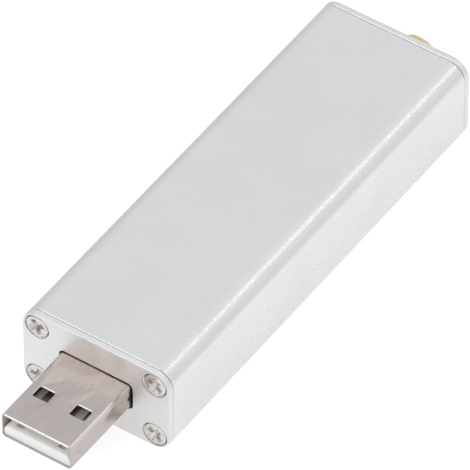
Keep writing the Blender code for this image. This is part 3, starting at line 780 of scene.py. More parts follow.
class AnalyzerScrewSets(bpy.types.Operator):
    """Make the four screws of each end plate"""

    bl_idname = "analyzer.screws"
    bl_label = "End screws"

    def execute(self, context):
        sizes = context.scene.analyzer_screws
        tree = screw_tree()
        ends = (
            ("front", FRONT_OUTER + sizes.sink, 0.0, sizes.front_turns),
            ("rear", REAR_OUTER - sizes.sink, pi, sizes.rear_turns),
        )
        for end, face, facing, turns in ends:
            values = {
                "Across": 2 * SCREW_Y, "Up": SCREW_Z_HIGH - SCREW_Z_LOW, "Facing": facing,
                "Middle": (face, 0, (SCREW_Z_LOW + SCREW_Z_HIGH) / 2), "Finish": surface("screw"),
            }
            values.update({f"Turn {i + 1}": turns[i] for i in range(4)})
            made = grow(f"{end}_screws", screw_mesh(sizes), tree, values, SCREW_SHARP)
            nodes = [f"{end}_screw_{i}" for i in range(1, 5)]
            place(made, f"{end}_cover", "nickel_plate", None, *nodes)
        return {"FINISHED"}


def plug_outline(inset, drop=0.0):
    """The plug's section, or one inside it, lowered by a drop."""
    corner = max(PLUG_CORNER - inset, 0.1 * MM)
    size = (2 * (PLUG_HALF - inset), PLUG_HEIGHT - 2 * inset)
    return rounded((0, PLUG_AXIS - drop), *size, corner, 8)


def prism(x0, x1, y0, y1, z0, z1):
    """A box to cut with or to join."""
    return loft([(z0, [rectangle(x0, x1, y0, y1)]), (z1, [rectangle(x0, x1, y0, y1)])], "Z")


def ribbon(line, width):
    """The outline of a strip of even width along an open line of points."""
    line = [Vector(point) for point in line]
    ways = [(far - near).normalized() for near, far in zip(line, line[1:])]
    sides = ([], [])
    for i, point in enumerate(line):
        before = ways[max(i - 1, 0)]
        after = ways[min(i, len(ways) - 1)]
        across = Vector((-before.y - after.y, before.x + after.x)).normalized()
        reach = width / 2 / max(0.35, across.dot(Vector((-after.y, after.x))))
        sides[0].append(tuple(point + across * reach))
        sides[1].append(tuple(point - across * reach))
    return sides[0] + sides[1][::-1]


def fold_seam(plug):
    """The dovetailed seam under the shell, as a thin wall to cut with."""
    tooth = 1.1 * MM
    neck = 0.8 * MM
    flare = 0.35 * MM
    line = [(PLUG_TIP - MM, 0.0)]
    for start in (2.8 * MM, 9.6 * MM):
        x = PLUG_TIP + start
        line += [(x, 0.0), (x - flare, tooth), (x + neck + flare, tooth), (x + neck, 0.0)]
    line.append((PLUG_REAR + MM, 0.0))
    outline = ribbon(line, plug.fold_gap)
    bottom = PLUG_AXIS - PLUG_HEIGHT / 2
    return loft([(z, [outline]) for z in (bottom - PLUG_SHEET, bottom + 1.6 * PLUG_SHEET)], "Z")


class AnalyzerShell(bpy.types.Operator):
    """Make the plug's folded shell"""

    bl_idname = "analyzer.shell"
    bl_label = "Plug shell"

    def execute(self, context):
        plug = context.scene.analyzer_plug
        lip = plug.lip
        lip_length = lip * 1.8
        lip_drop = lip * 0.8
        sections = [
            (PLUG_TIP, [plug_outline(lip, lip_drop), plug_outline(PLUG_SHEET - lip / 2)]),
            (PLUG_TIP + lip_length, [plug_outline(0.0), plug_outline(PLUG_SHEET)]),
            (PLUG_REAR, [plug_outline(0.0), plug_outline(PLUG_SHEET)]),
        ]
        tools = []
        for side in (-1, 1):
            tools.append(("DIFFERENCE", self.window(plug, side)))
            tools.append(("DIFFERENCE", self.latch(plug, side)))
            tools.append(("DIFFERENCE", self.dimple(plug, side)))
            tools.append(("UNION", self.leg(side)))
        tools.append(("DIFFERENCE", fold_seam(plug)))
        self.paint_reflection_and_fold_highlight(surface("shell"))
        piece("plug_shell_folded", loft(sections), "nickel_plate", "shell", "plug_shell", tools=tools)
        return {"FINISHED"}

    def window(self, plug, side):
        """The cut of one side's windows, in the top and the bottom, with broken edges."""
        edge = plug.window_edge
        half = PLUG_HEIGHT / 2
        middle = (PLUG_TIP + plug.window_setback, side * plug.window_pitch / 2)
        sections = []
        for z, wide in (
            (-PLUG_HEIGHT, edge), (-half, edge), (edge - half, 0.0),
            (half - edge, 0.0), (half, edge), (PLUG_HEIGHT, edge),
        ):
            size = (plug.window_length + 2 * wide, plug.window_width + 2 * wide * plug.window_flare)
            sections.append((PLUG_AXIS + z, [rounded(middle, *size, plug.window_corner + wide, 5)]))
        return loft(sections, "Z")

    def latch(self, plug, side):
        """The cut of the latch hole in one side."""
        spot = (PLUG_TIP + plug.latch_setback, PLUG_AXIS)
        hole = rounded(spot, plug.latch_hole, plug.latch_hole, 0.12 * MM, 4)
        walls = sorted((side * (PLUG_HALF - 2 * PLUG_SHEET), side * (PLUG_HALF + PLUG_SHEET)))
        return loft([(y, [hole]) for y in walls], "Y")

    def dimple(self, plug, side):
        """The cut of the pressed mark in one side."""
        spot = (PLUG_TIP + plug.dimple_setback, PLUG_AXIS)
        sections = []
        for depth, share in ((-0.1, 1.3), (0.0, 1.0), (0.14, 0.75), (0.22, 0.3)):
            sections.append((side * (PLUG_HALF - depth * MM), [circle(spot, plug.dimple * share, 20)]))
        return loft(sections, "Y")

    def leg(self, side):
        """A leg that goes through the board, with a tapered foot, a little thinner than the sheet."""
        taper = 0.5 * MM
        trim = 0.02 * MM
        sections = []
        for z, inset in ((LEG_FOOT, taper), (LEG_FOOT + taper, 0.0), (PLUG_AXIS, 0.0)):
            ends = (PLUG_REAR - LEG_LENGTH + inset, PLUG_REAR - trim - inset)
            sides = sorted((side * (PLUG_HALF - trim), side * (PLUG_HALF - PLUG_SHEET + trim)))
            sections.append((z, [rectangle(*ends, *sides)]))
        return loft(sections, "Z")

    def paint_reflection_and_fold_highlight(self, material):
        """Paint a warm reflection on the plating towards the plug's root, and burnish the folds, with a
        painted highlight there.
        """
        # Painted reflection: from here back to the front plate the plating warms, like warm light mirrored
        # near the root
        root_reflection_from = PLUG_TIP + 7.0 * MM
        # Share of the pale painted highlight on the folds
        painted_highlight_share = 0.75
        smoothed = -0.6
        tree = material.node_tree
        sockets = tree.nodes["Principled BSDF"].inputs
        spot = put(tree, "ShaderNodeTexCoord", out="Object")
        at = put(tree, "ShaderNodeSeparateXYZ", {"Vector": spot}, out=None).outputs
        root = put(tree, "ShaderNodeMapRange", {
            "Value": at["X"], "From Min": root_reflection_from, "From Max": FRONT_OUTER,
        })
        # The ramp runs from a cool tint at the front to a warm painted reflection at the root
        tint = put(tree, "ShaderNodeValToRGB", {"Fac": root}, out=None)
        tint.color_ramp.elements[0].color = (0.98, 0.985, 1.0, 1.0)
        tint.color_ramp.elements[1].color = (1.0, 0.945, 0.88, 1.0)
        warm = put(tree, "ShaderNodeMix", {
            "Factor": 1.0, "A": sockets["Base Color"].links[0].from_socket, "B": tint.outputs["Color"],
        }, out="Result", data_type="RGBA", blend_type="MULTIPLY")
        up = put(tree, "ShaderNodeMath", {0: at["Z"], 1: PLUG_AXIS}, operation="SUBTRACT")
        near = []
        for way, half in ((at["Y"], PLUG_HALF), (up, PLUG_HEIGHT / 2)):
            off = put(tree, "ShaderNodeMath", {0: way}, operation="ABSOLUTE")
            near.append(put(tree, "ShaderNodeMapRange", {
                "Value": off, "From Min": half - 0.85 * PLUG_CORNER, "From Max": half - 0.35 * PLUG_CORNER,
            }))
        fold = put(tree, "ShaderNodeMath", {0: near[0], 1: near[1]}, operation="MULTIPLY")
        # Painted highlight: the folds' colour lightens towards pale nickel; the lower roughness on them is
        # a real burnish
        painted_fold_highlight = put(tree, "ShaderNodeMath", {0: fold, 1: painted_highlight_share}, operation="MULTIPLY")
        bare = put(tree, "ShaderNodeMix", {
            "Factor": painted_fold_highlight, "A": warm, "B": linear("#e6e0da"),
        }, out="Result", data_type="RGBA")
        left = put(tree, "ShaderNodeMath", {0: fold, 1: smoothed, 2: 1.0}, operation="MULTIPLY_ADD")
        gloss = put(tree, "ShaderNodeMath", {
            0: sockets["Roughness"].links[0].from_socket, 1: left,
        }, operation="MULTIPLY")
        tree.links.new(bare, sockets["Base Color"])
        tree.links.new(gloss, sockets["Roughness"])


class AnalyzerJackBody(bpy.types.Operator):
    """Make the coaxial jack with its dielectric and its socket pin"""

    bl_idname = "analyzer.jack"
    bl_label = "Coaxial jack"

    def execute(self, context):
        self.body(context.scene.analyzer_jack)
        self.sleeve()
        self.pin(context.scene.analyzer_jack)
        return {"FINISHED"}

    def body(self, jack):
        """Square flange with four legs, and a threaded barrel."""
        axis_at = (0, JACK_AXIS)
        around = 72
        edge = 0.12 * MM
        rim = 0.06 * MM
        lip = 0.08 * MM
        mesh = bmesh.new()
        flange = []
        for x, inset in broken_ends(FLANGE_FRONT, FLANGE_REAR, edge):
            side = 2 * (JACK_HALF - inset)
            flange.append((x, rounded(axis_at, side, side, 0.3 * MM, 4)))
        back, front = chain(mesh, flange)
        start = REAR_OUTER + jack.thread_start
        root = JACK_RADIUS - jack.thread_depth
        tip = JACK_TIP - jack.tip_chamfer
        nose = JACK_RADIUS - jack.tip_chamfer
        barrel = [(FLANGE_REAR, circle(axis_at, JACK_RADIUS, around))]
        barrel += thread(start, tip, JACK_RADIUS, JACK_RADIUS, root, jack.pitch, around, axis_at, 12)
        for x, radius in (
            (JACK_TIP - rim, nose), (JACK_TIP, nose - rim),
            (JACK_TIP, JACK_MOUTH + lip), (JACK_TIP - lip, JACK_MOUTH),
            (MOUTH_FLOOR, JACK_MOUTH), (MOUTH_FLOOR, JACK_BORE), (FLANGE_FRONT, JACK_BORE),
        ):
            barrel.append((x, circle(axis_at, radius, around)))
        foot, drain = chain(mesh, barrel)
        cap(mesh, front, foot)
        tail = span("coax_jack_body", 0)[0]
        reach = JACK_HALF - 0.1 * MM
        thick = 1.0 * MM
        feet = []
        for bottom in (SEAT, BOARD_BOTTOM - (SEAT - BOARD_TOP) - thick):
            for side in (-1, 1):
                centre = (side * (reach - thick / 2), bottom + thick / 2)
                leg = []
                for x, inset in ((FLANGE_FRONT, 0.0), (tail + edge, 0.0), (tail, edge)):
                    leg.append((x, rounded(centre, thick - 2 * inset, thick - 2 * inset, 0.1 * MM, 3)))
                base, end = chain(mesh, leg)
                feet.append(base)
                cap(mesh, end)
        cap(mesh, back, drain, *feet)
        piece("coax_jack_threaded", mesh, "gold_plate", "gold", "coax_jack_body")

    def sleeve(self):
        """The PTFE sleeve between the body and the pin."""
        axis_at = (0, JACK_AXIS)
        outer = span("coax_dielectric", 1)[1]
        hole = span("coax_socket_pin", 1)[1] + 0.06 * MM
        edge = 0.08 * MM
        sections = []
        for x, inset in broken_ends(FLANGE_FRONT, MOUTH_FLOOR, edge):
            loops = [circle(axis_at, outer - inset, 64), circle(axis_at, hole + inset / 2, 40)]
            sections.append((x, loops))
        piece("coax_dielectric_turned", loft(sections), "ptfe", "ptfe", "coax_dielectric")

    def pin(self, jack):
        """The slit socket pin with its tail."""
        axis_at = (0, JACK_AXIS)
        tail = span("coax_socket_pin", 0)[0]
        wide = span("coax_socket_pin", 1)[1] / MM
        profile = (
            (tail, 0.18), (tail + 0.08 * MM, 0.25), (FLANGE_FRONT, 0.25), (FLANGE_FRONT, wide),
            (MOUTH_FLOOR - 0.1 * MM, wide), (MOUTH_FLOOR, wide - 0.06),
            (MOUTH_FLOOR, 0.53), (MOUTH_FLOOR - 0.08 * MM, 0.475), (MOUTH_FLOOR - 2.5 * MM, 0.475),
            (MOUTH_FLOOR - 2.7 * MM, 0.1),
        )
        mesh = bmesh.new()
        start, end = chain(mesh, [(x, circle(axis_at, radius * MM, 40)) for x, radius in profile])
        cap(mesh, start)
        cap(mesh, end)
        half = jack.slot_width / 2
        reach = (MOUTH_FLOOR - 2.0 * MM, MOUTH_FLOOR + MM)
        slits = [
            ("DIFFERENCE", prism(*reach, -half, half, JACK_AXIS - MM, JACK_AXIS + MM)),
            ("DIFFERENCE", prism(*reach, -MM, MM, JACK_AXIS - half, JACK_AXIS + half)),
        ]
        piece("coax_pin_slit", mesh, "gold_plate", "gold", "coax_socket_pin", tools=slits)


CONTACTS = [f"plug_contact_{i}" for i in range(1, 5)]
MOULD_EDGE = 0.12 * MM       # broken edge of the plug's mouldings


class AnalyzerPlugInside(bpy.types.Operator):
    """Make the plug's tongue, its rear block and its four contacts"""

    bl_idname = "analyzer.plug_inside"
    bl_label = "Plug inside"

    def execute(self, context):
        self.tongue(context.scene.analyzer_plug)
        self.block()
        self.contacts()
        return {"FINISHED"}

    def tongue(self, plug):
        """The tongue on the shell's floor, with a round crown and a groove for each contact."""
        room = 0.02 * MM
        groove_room = 0.06 * MM
        half = PLUG_HALF - PLUG_SHEET - room
        foot = PLUG_CORNER - PLUG_SHEET
        crown = 0.9 * MM
        bottom = PLUG_AXIS - PLUG_HEIGHT / 2 + PLUG_SHEET + room
        top = TONGUE_TOP

        def section(inset):
            points = arc((foot - half, bottom + foot), foot - inset, 180, 270, 5)
            points += arc((half - foot, bottom + foot), foot - inset, 270, 360, 5)
            points += arc((half - crown, top - crown), crown - inset, 0, 90, 8)
            points += arc((crown - half, top - crown), crown - inset, 90, 180, 8)
            return points

        nose = PLUG_TIP + plug.tongue_setback
        sections = []
        for x, inset in (
            (nose, MOULD_EDGE), (nose + MOULD_EDGE * 0.3, MOULD_EDGE * 0.3),
            (nose + MOULD_EDGE, 0.0), (TONGUE_REAR, 0.0),
        ):
            sections.append((x, [section(inset)]))
        grooves = []
        for name in CONTACTS:
            y0, y1 = span(name, 1)
            x0 = span(name, 0)[0] - 1.5 * MM
            grooves.append(("DIFFERENCE", prism(
                x0, TONGUE_REAR + MM, y0 - groove_room, y1 + groove_room, top - 0.5 * MM, top + MM)))
        piece(
            "plug_tongue_moulded", loft(sections), "white_plastic", "plastic", "plug_tongue",
            tools=grooves)

    def block(self):
        """The block behind the tongue, with a hole for each contact."""
        low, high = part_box("plug_block")
        room = 0.1 * MM
        inset = PLUG_HALF - high.y
        sections = []
        for x, step in broken_ends(low.x, high.x, MOULD_EDGE):
            sections.append((x, [plug_outline(inset + step)]))
        holes = []
        for name in CONTACTS:
            y0, y1 = span(name, 1)
            crest = span(name, 2)[1]
            holes.append(("DIFFERENCE", prism(
                low.x - MM, high.x + MM, y0 - room, y1 + room, TONGUE_TOP, crest + room)))
        piece(
            "plug_block_moulded", loft(sections), "white_plastic", "plastic", "plug_block", tools=holes)

    def contacts(self):
        """Four strips that lie in the tongue's grooves and bend down to the board."""
        mesh = bmesh.new()
        thick = 0.2 * MM
        bend = 0.3 * MM
        for name in CONTACTS:
            low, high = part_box(name)
            elbow = (high.x - bend, high.z - bend)
            strip = [(low.x, high.z - thick), (low.x + 0.1 * MM, high.z - 0.02 * MM)]
            strip += [(low.x + 0.25 * MM, high.z)] + arc(elbow, bend, 90, 0, 6)
            strip += [(high.x, low.z), (high.x - thick, low.z)] + arc(elbow, bend - thick, 0, 90, 6)
            add_loft(mesh, [(y, [strip]) for y in (low.y, high.y)], "Y")
        piece("plug_contacts_bent", mesh, "gold_plate", "contact", *CONTACTS)


def slab(mesh, low, high, edge, corner, draft=0.0, dish=None):
    """Add a block with round corners and chamfered edges.

    Its sides lean in by a draft from their middle; a dish is a centre, a radius and a depth in its top.
    """
    centre = ((low[0] + high[0]) / 2, (low[1] + high[1]) / 2)
    steps = (
        (low[2], edge + draft), (low[2] + edge, draft), ((low[2] + high[2]) / 2, 0.0),
        (high[2] - edge, draft), (high[2], edge + draft),
    )
    sections = []
    for z, inset in steps:
        size = (high[0] - low[0] - 2 * inset, high[1] - low[1] - 2 * inset)
        sections.append((z, rounded(centre, *size, max(corner - inset, corner / 4), 3)))
    bottom, top = chain(mesh, sections, "Z")
    cap(mesh, bottom)
    if not dish:
        cap(mesh, top)
        return
    spot, radius, depth = dish
    bowl = ((0.0, 1.0), (0.7, 0.85), (1.0, 0.5))
    rim, bed = chain(mesh, [(high[2] - depth * d, circle(spot, radius * r, 20)) for d, r in bowl], "Z")
    cap(mesh, top, rim)
    cap(mesh, bed)


def solder_pad(mesh, corner, opposite, top, edge):
    """Add a soldered pad that rises from the board between two opposite corners."""
    low = [min(pair) for pair in zip(corner, opposite)]
    high = [max(pair) for pair in zip(corner, opposite)]
    slab(mesh, (*low, BOARD_TOP), (*high, top), edge, 0.15 * MM)


def turned(profile, around, up=1):
    """A small closed solid round the Z axis from heights and radii, or upside down where up is -1."""
    mesh = bmesh.new()
    rings = [(up * z, circle((0, 0), radius, around)[::up]) for z, radius in profile]
    foot, crown = chain(mesh, rings, "Z")
    cap(mesh, foot)
    cap(mesh, crown)
    return mesh


def notch(mesh, along, at, half, wall, reach, levels):
    """Add a block that cuts a wall; along is 0 for a wall that runs along X and 1 for one along Y."""
    spans = [(at - half, at + half), (wall - reach, wall + reach)]
    if along:
        spans.reverse()
    add_loft(mesh, [(z, [rectangle(*spans[0], *spans[1])]) for z in levels], "Z")


# Inputs of every tree that has a grid
GRID = [
    ("Count X", "Int"), ("Count Y", "Int"), ("Span X", "Float"), ("Span Y", "Float"), ("Middle", "Vector"),
]


def grid_tree():
    """Copies of a shape on a flat grid."""
    tree, given = make_tree("copies_on_a_grid", GRID + [("Finish", "Material")])
    return finish_tree(tree, grid_of(tree, given, given["Geometry"]), given["Finish"])


def grid_of(tree, given, shape):
    """Nodes that put a shape on every point of a flat grid."""
    points = put(tree, "GeometryNodeMeshGrid", {
        "Size X": given["Span X"], "Size Y": given["Span Y"],
        "Vertices X": given["Count X"], "Vertices Y": given["Count Y"],
    })
    moved = put(tree, "GeometryNodeTransform", {"Geometry": points, "Translation": given["Middle"]})
    return put(tree, "GeometryNodeInstanceOnPoints", {"Points": moved, "Instance": shape})


def perforated_tree():
    """A sheet with a grid of round holes through it."""
    tree, given = make_tree("perforated_sheet", GRID + [
        ("Radius", "Float"), ("Depth", "Float"), ("Finish", "Material"),
    ])
    punch = put(tree, "GeometryNodeMeshCylinder", {
        "Vertices": 16, "Radius": given["Radius"], "Depth": given["Depth"],
    })
    punches = put(tree, "GeometryNodeRealizeInstances", {"Geometry": grid_of(tree, given, punch)})
    cut = put(tree, "GeometryNodeMeshBoolean", {
        "Mesh 1": given["Geometry"], "Mesh 2": punches,
    }, operation="DIFFERENCE", solver="EXACT")
    return finish_tree(tree, cut, given["Finish"])


def lead_tree():
    """Rows of leads round a chip, one row for each side, turned to face it."""
    tree, given = make_tree("leads_round_a_chip", [
        ("Count", "Int"), ("Start", "Vector"), ("Step", "Vector"), ("Sides", "Int"),
        ("Turn", "Float"), ("Middle", "Vector"), ("Finish", "Material"),
    ])
    line = put(tree, "GeometryNodeMeshLine", {
        "Count": given["Count"], "Start Location": given["Start"], "Offset": given["Step"],
    }, mode="OFFSET")
    row = put(tree, "GeometryNodeInstanceOnPoints", {
        "Points": line, "Instance": given["Geometry"],
    })
    sides = put(tree, "GeometryNodeMeshLine", {
        "Count": given["Sides"], "Start Location": given["Middle"], "Offset": (0, 0, 0),
    }, mode="OFFSET")
    part = put(tree, "ShaderNodeMath", {0: 2 * pi, 1: given["Sides"]}, operation="DIVIDE")
    index = put(tree, "GeometryNodeInputIndex")
    turn = put(tree, "ShaderNodeMath", {
        0: index, 1: part, 2: given["Turn"],
    }, operation="MULTIPLY_ADD")
    facing = put(tree, "ShaderNodeCombineXYZ", {"Z": turn})
    rows = put(tree, "GeometryNodeInstanceOnPoints", {
        "Points": sides, "Instance": row, "Rotation": facing,
    })
    return finish_tree(tree, rows, given["Finish"])


def track_tree():
    """Flat tracks along lines, with their corners rounded."""
    tree, given = make_tree("tracks_along_lines", [
        ("Width", "Float"), ("Height", "Float"), ("Bend", "Float"), ("Finish", "Material"),
    ])
    lines = put(tree, "GeometryNodeMeshToCurve", {"Mesh": given["Geometry"]})
    bent = put(tree, "GeometryNodeFilletCurve", {
        "Curve": lines, "Count": 3, "Radius": given["Bend"], "Limit Radius": True,
    }, mode="POLY")
    level = put(tree, "GeometryNodeSetCurveNormal", {"Curve": bent}, mode="Z_UP")
    bar = put(tree, "GeometryNodeCurvePrimitiveQuadrilateral", {
        "Width": given["Width"], "Height": given["Height"],
    })
    tracks = put(tree, "GeometryNodeCurveToMesh", {
        "Curve": level, "Profile Curve": bar, "Fill Caps": True,
    })
    return finish_tree(tree, tracks, given["Finish"])


def copies(name, mesh, slot, key, counts, spans, middle, *nodes):
    """Make copies of a working mesh on a grid, as one piece of the chassis."""
    tree = bpy.data.node_groups.get("copies_on_a_grid") or grid_tree()
    values = {
        "Count X": counts[0], "Count Y": counts[1], "Span X": spans[0], "Span Y": spans[1],
        "Middle": middle, "Finish": surface(key),
    }
    made = grow(name, mesh_data(name, mesh), tree, values)
    return place(made, "chassis", slot, None, *nodes)


# Tracks of the board, in millimetres: lines of points, on its top and, the last ones, under it
POWER_TRACKS = (
    ((-29.4, 3.5), (-27.6, 3.5), (-26.6, 4.2), (-23.8, 4.2)),
    ((-21.3, 4.2), (-12.0, 4.2)),
    ((-29.4, -3.5), (-27.6, -3.5), (-26.4, -4.6), (-24.0, -4.6)),
    ((-21.0, -4.6), (-18.6, -4.6), (-17.2, -6.2), (-10.0, -6.2)),
    ((-8.6, 6.2), (-8.6, 8.2), (-4.6, 8.2), (-3.4, 7.0), (-1.6, 7.0)),
    ((-6.6, -1.8), (-4.4, -1.8), (-3.2, -4.0), (-1.6, -4.0)),
    ((-6.9, -6.2), (-4.6, -6.2), (-3.8, -7.0), (-1.6, -7.0)),
    ((31.4, 0.0), (37.8, 0.0)),
)
SIGNAL_TRACKS = (
    ((-29.4, 1.0), (-25.6, 1.0), (-25.2, 0.7), (-23.5, 0.7)),
    ((-29.4, -1.0), (-25.6, -1.0), (-25.2, -0.7), (-23.5, -0.7)),
    ((-21.6, 0.7), (-20.4, 0.7), (-19.5, 1.6), (-4.0, 1.6), (-2.8, 0.6), (2.2, 0.6)),
    ((-21.6, -0.7), (-20.2, -0.7), (-18.5, 1.0), (-4.3, 1.0), (-3.5, 0.2), (2.2, 0.2)),
    ((-15.6, -3.1), (-15.6, -1.4), (-10.4, -1.4)),
    ((-15.6, 5.0), (-15.6, 6.2)),
    ((-15.6, -5.0), (-15.6, -6.2)),
    ((-1.6, 5.0), (-1.6, 6.2)),
    ((-1.6, -5.0), (-1.6, -6.2)),
    ((-1.6, 3.1), (-1.6, 1.8), (-0.4, 1.4), (2.2, 1.4)),
    ((-1.6, -3.1), (-1.6, -2.2), (-0.4, -1.4), (2.2, -1.4)),
    ((4.2, -3.2), (4.2, -4.8)),
    ((6.6, -3.2), (6.6, -4.8)),
    *[((3.5 + 1.2 * i, 3.2), (3.5 + 1.2 * i, 4.7)) for i in range(4)],
    *[((8.7, -1.8 + 0.4 * i), (9.6, -1.8 + 0.4 * i), (10.4, -2.7 + 0.6 * i), (12.6, -2.7 + 0.6 * i))
      for i in range(10)],
)
UNDER_TRACKS = (
    *[((-29.0, y), (-13.0 + y, y), (-11.0 + y, y * 0.8)) for y in (-6.6, -5.4, -4.2, 4.2, 5.4, 6.6)],
    *[((18.0, y), (20.0, y * 1.2), (34.0, y * 1.2)) for y in (-6.0, -4.8, -3.6, 3.6, 4.8, 6.0)],
)


class AnalyzerBoard(bpy.types.Operator):
    """Make the circuit board with its tracks, vias and test pads"""

    bl_idname = "analyzer.board"
    bl_label = "Circuit board"

    def execute(self, context):
        sizes = context.scene.analyzer_board
        self.laminate(sizes)
        self.tracks(sizes)
        self.spots(sizes)
        return {"FINISHED"}

    def laminate(self, sizes):
        """The laminate: solder mask on both faces, bare glass at its sawn edges and slots."""
        middle = ((BOARD_FRONT + BOARD_REAR) / 2, 0)
        room = 0.2 * MM
        sections = []
        for z, inset in broken_ends(BOARD_BOTTOM, BOARD_TOP, sizes.edge):
            size = (BOARD_REAR - BOARD_FRONT - 2 * inset, 2 * (BOARD_HALF - inset))
            plan = [rounded(middle, *size, sizes.corner, 5)]
            for side in (-1, 1):
                slot = (PLUG_REAR - LEG_LENGTH / 2, side * (PLUG_HALF - PLUG_SHEET / 2))
                reach = (LEG_LENGTH + 2 * (room - inset), PLUG_SHEET + 2 * (room - inset))
                plan.append(rounded(slot, *reach, 0.15 * MM, 4))
            sections.append((z, plan))
        data = mesh_data("circuit_board_masked", loft(sections, "Z"))
        data.materials.append(surface("mask"))
        data.materials.append(surface("laminate"))
        for face in data.polygons:
            face.material_index = 0 if abs(face.normal.z) > 0.9 else 1
        place(show("circuit_board_masked", data), "chassis", "solder_mask", None, "circuit_board")

    def tracks(self, sizes):
        """Raised tracks under the mask, and a ground strip along each edge."""
        reach = (BOARD_FRONT + 1.5 * MM, BOARD_REAR - 1.5 * MM)
        strips = [[(x / MM, side * sizes.strip_at / MM) for x in reach] for side in (-1, 1)]
        tree = track_tree()
        for name, lines, width, face in (
            ("board_tracks_signal", SIGNAL_TRACKS, sizes.signal_width, BOARD_TOP),
            ("board_tracks_power", POWER_TRACKS, sizes.power_width, BOARD_TOP),
            ("board_ground_strips", strips, sizes.strip_width, BOARD_TOP),
            ("board_tracks_under", UNDER_TRACKS, sizes.signal_width, BOARD_BOTTOM),
            ("board_ground_strips_under", strips, sizes.strip_width, BOARD_BOTTOM),
        ):
            points = []
            edges = []
            for line in lines:
                edges += [(len(points) + i, len(points) + i + 1) for i in range(len(line) - 1)]
                points += [(x * MM, y * MM, face) for x, y in line]
            data = bpy.data.meshes.new(name)
            data.from_pydata(points, edges, [])
            values = {
                "Width": width, "Height": 2 * sizes.copper, "Bend": 0.4 * MM, "Finish": surface("track"),
            }
            place(grow(name, data, tree, values), "chassis", "solder_mask", None)

    def spots(self, sizes):
        """Vias along the ground strips, on both faces, and a row of gold test pads."""
        middle = (BOARD_FRONT + BOARD_REAR) / 2
        spans = (66.0 * MM, 2 * sizes.strip_at)
        shape = ((-0.06, 1.0), (0.0, 1.0), (0.03, 0.95), (0.03, 0.55), (-0.05, 0.5))
        rim = [(z * MM, sizes.via * share) for z, share in shape]
        for name, face, up in (("board_vias", BOARD_TOP, 1), ("board_vias_under", BOARD_BOTTOM, -1)):
            via = turned(rim, 10, up)
            copies(name, via, "tinplate", "tin", (34, 2), spans, (middle, 0, face + up * sizes.copper))
        shape = ((-0.02, 0.5), (0.03, 0.5), (0.05, 0.46), (0.05, 0.25), (0.04, 0.05))
        button = turned([(z * MM, radius * MM) for z, radius in shape], 20)
        spot = (-22.0 * MM, 7.6 * MM, BOARD_TOP)
        copies("board_test_pads", button, "gold_plate", "gold", (6, 1), (9.0 * MM, 0.0), spot)


def lead_mesh(reach, height, width):
    """A gull-wing lead towards +X with its solder pad, from the chip's side at the seat's level."""
    mesh = bmesh.new()
    thick = 0.11 * MM
    line = [(-0.1 * MM, height), (reach * 0.25, height), (reach * 0.55, thick / 2), (reach, thick / 2)]
    add_loft(mesh, [(y, [ribbon(line, thick)]) for y in (-width / 2, width / 2)], "Y")
    depth = SEAT - BOARD_TOP
    half = width * 0.7
    solder = []
    for z, inset in ((-depth, 0.0), (-depth * 0.3, 0.01 * MM), (0.005 * MM, 0.04 * MM)):
        ends = (reach * 0.4 + inset, reach * 1.05 - inset)
        solder.append((z, [rectangle(*ends, inset - half, half - inset)]))
    add_loft(mesh, solder, "Z")
    return mesh_data("lead", mesh)


# Leaded chips: room for the leads along and across, and rows of leads: count, pitch, width, sides, turn
CHIPS = {
    "processor_chip": ((0.7, 0.7), ((12, 0.4, 0.18, 4, 0),)),
    "memory_chip": ((0.0, 0.6), ((4, 1.2, 0.4, 2, 90),)),
    "surge_diode": ((0.0, 0.3), ((3, 0.95, 0.34, 2, 90),)),
    "regulator_chip": ((0.0, 0.6), ((3, 2.3, 0.7, 1, 270), (1, 0.0, 3.0, 1, 90))),
    "tuner_chip": ((0.05, 0.05), ((8, 0.5, 0.24, 4, 0),)),
}


# The dished mark at a chip's first lead, against the chip's size
MARK_INSET = 0.16
MARK_RADIUS = 0.06


class AnalyzerChips(bpy.types.Operator):
    """Make the moulded chips and their leads"""

    bl_idname = "analyzer.chips"
    bl_label = "Chips"

    def execute(self, context):
        tree = lead_tree()
        for name, (room, rows) in CHIPS.items():
            low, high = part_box(name)
            inset = Vector((room[0] * MM, room[1] * MM, 0))
            low = low + inset
            high = high - inset
            low.z = SEAT + 0.08 * MM
            size = high - low
            mark = (low.x + MARK_INSET * size.x, low.y + MARK_INSET * size.y)
            dish = (mark, MARK_RADIUS * min(size.x, 2 * size.y), 0.06 * MM)
            body = bmesh.new()
            slab(body, low, high, 0.03 * MM, 0.12 * MM, 0.09 * MM, dish)
            piece(f"{name}_moulded", body, "black_epoxy", "epoxy", name)
            middle = (low + high) / 2
            for number, (count, pitch, width, sides, turn) in enumerate(rows, 1):
                axis = 1 if turn % 180 == 90 else 0
                start = (size[axis] / 2, -(count - 1) / 2 * pitch * MM, 0)
                values = {
                    "Count": count, "Start": start,
                    "Step": (0, pitch * MM, 0), "Sides": sides, "Turn": radians(turn),
                    "Middle": (middle.x, middle.y, SEAT), "Finish": surface("tin"),
                }
                lead = lead_mesh(room[axis] * MM, (high.z - SEAT) * 0.5, width * MM)
                made = grow(f"{name}_leads_{number}", lead, tree, values)
                place(made, "chassis", "tinplate", None)
        return {"FINISHED"}


def chip_body(mesh, low, high):
    """Add the body of a two-ended chip, a little inside its plated ends."""
    trim = Vector((0.03, 0.03, 0.03)) * MM
    slab(mesh, low + trim, high - trim, 0.04 * MM, 0.06 * MM)


def chip_ends(mesh, low, high, axis):
    """Add the plated ends of a two-ended chip, with the solder under and beside them."""
    depth = (high[axis] - low[axis]) * 0.22
    fillet = 0.25 * MM
    for side in (0, 1):
        a, b = low.copy(), high.copy()
        a[axis], b[axis] = ((low[axis], low[axis] + depth), (high[axis] - depth, high[axis]))[side]
        slab(mesh, a, b, 0.06 * MM, 0.08 * MM)
        pad_low, pad_high = a.copy(), b.copy()
        pad_low.z = low.z - (SEAT - BOARD_TOP)
        pad_high.z = low.z + 0.05 * MM
        if side:
            pad_high[axis] += fillet
        else:
            pad_low[axis] -= fillet
        slab(mesh, pad_low, pad_high, 0.05 * MM, 0.1 * MM)


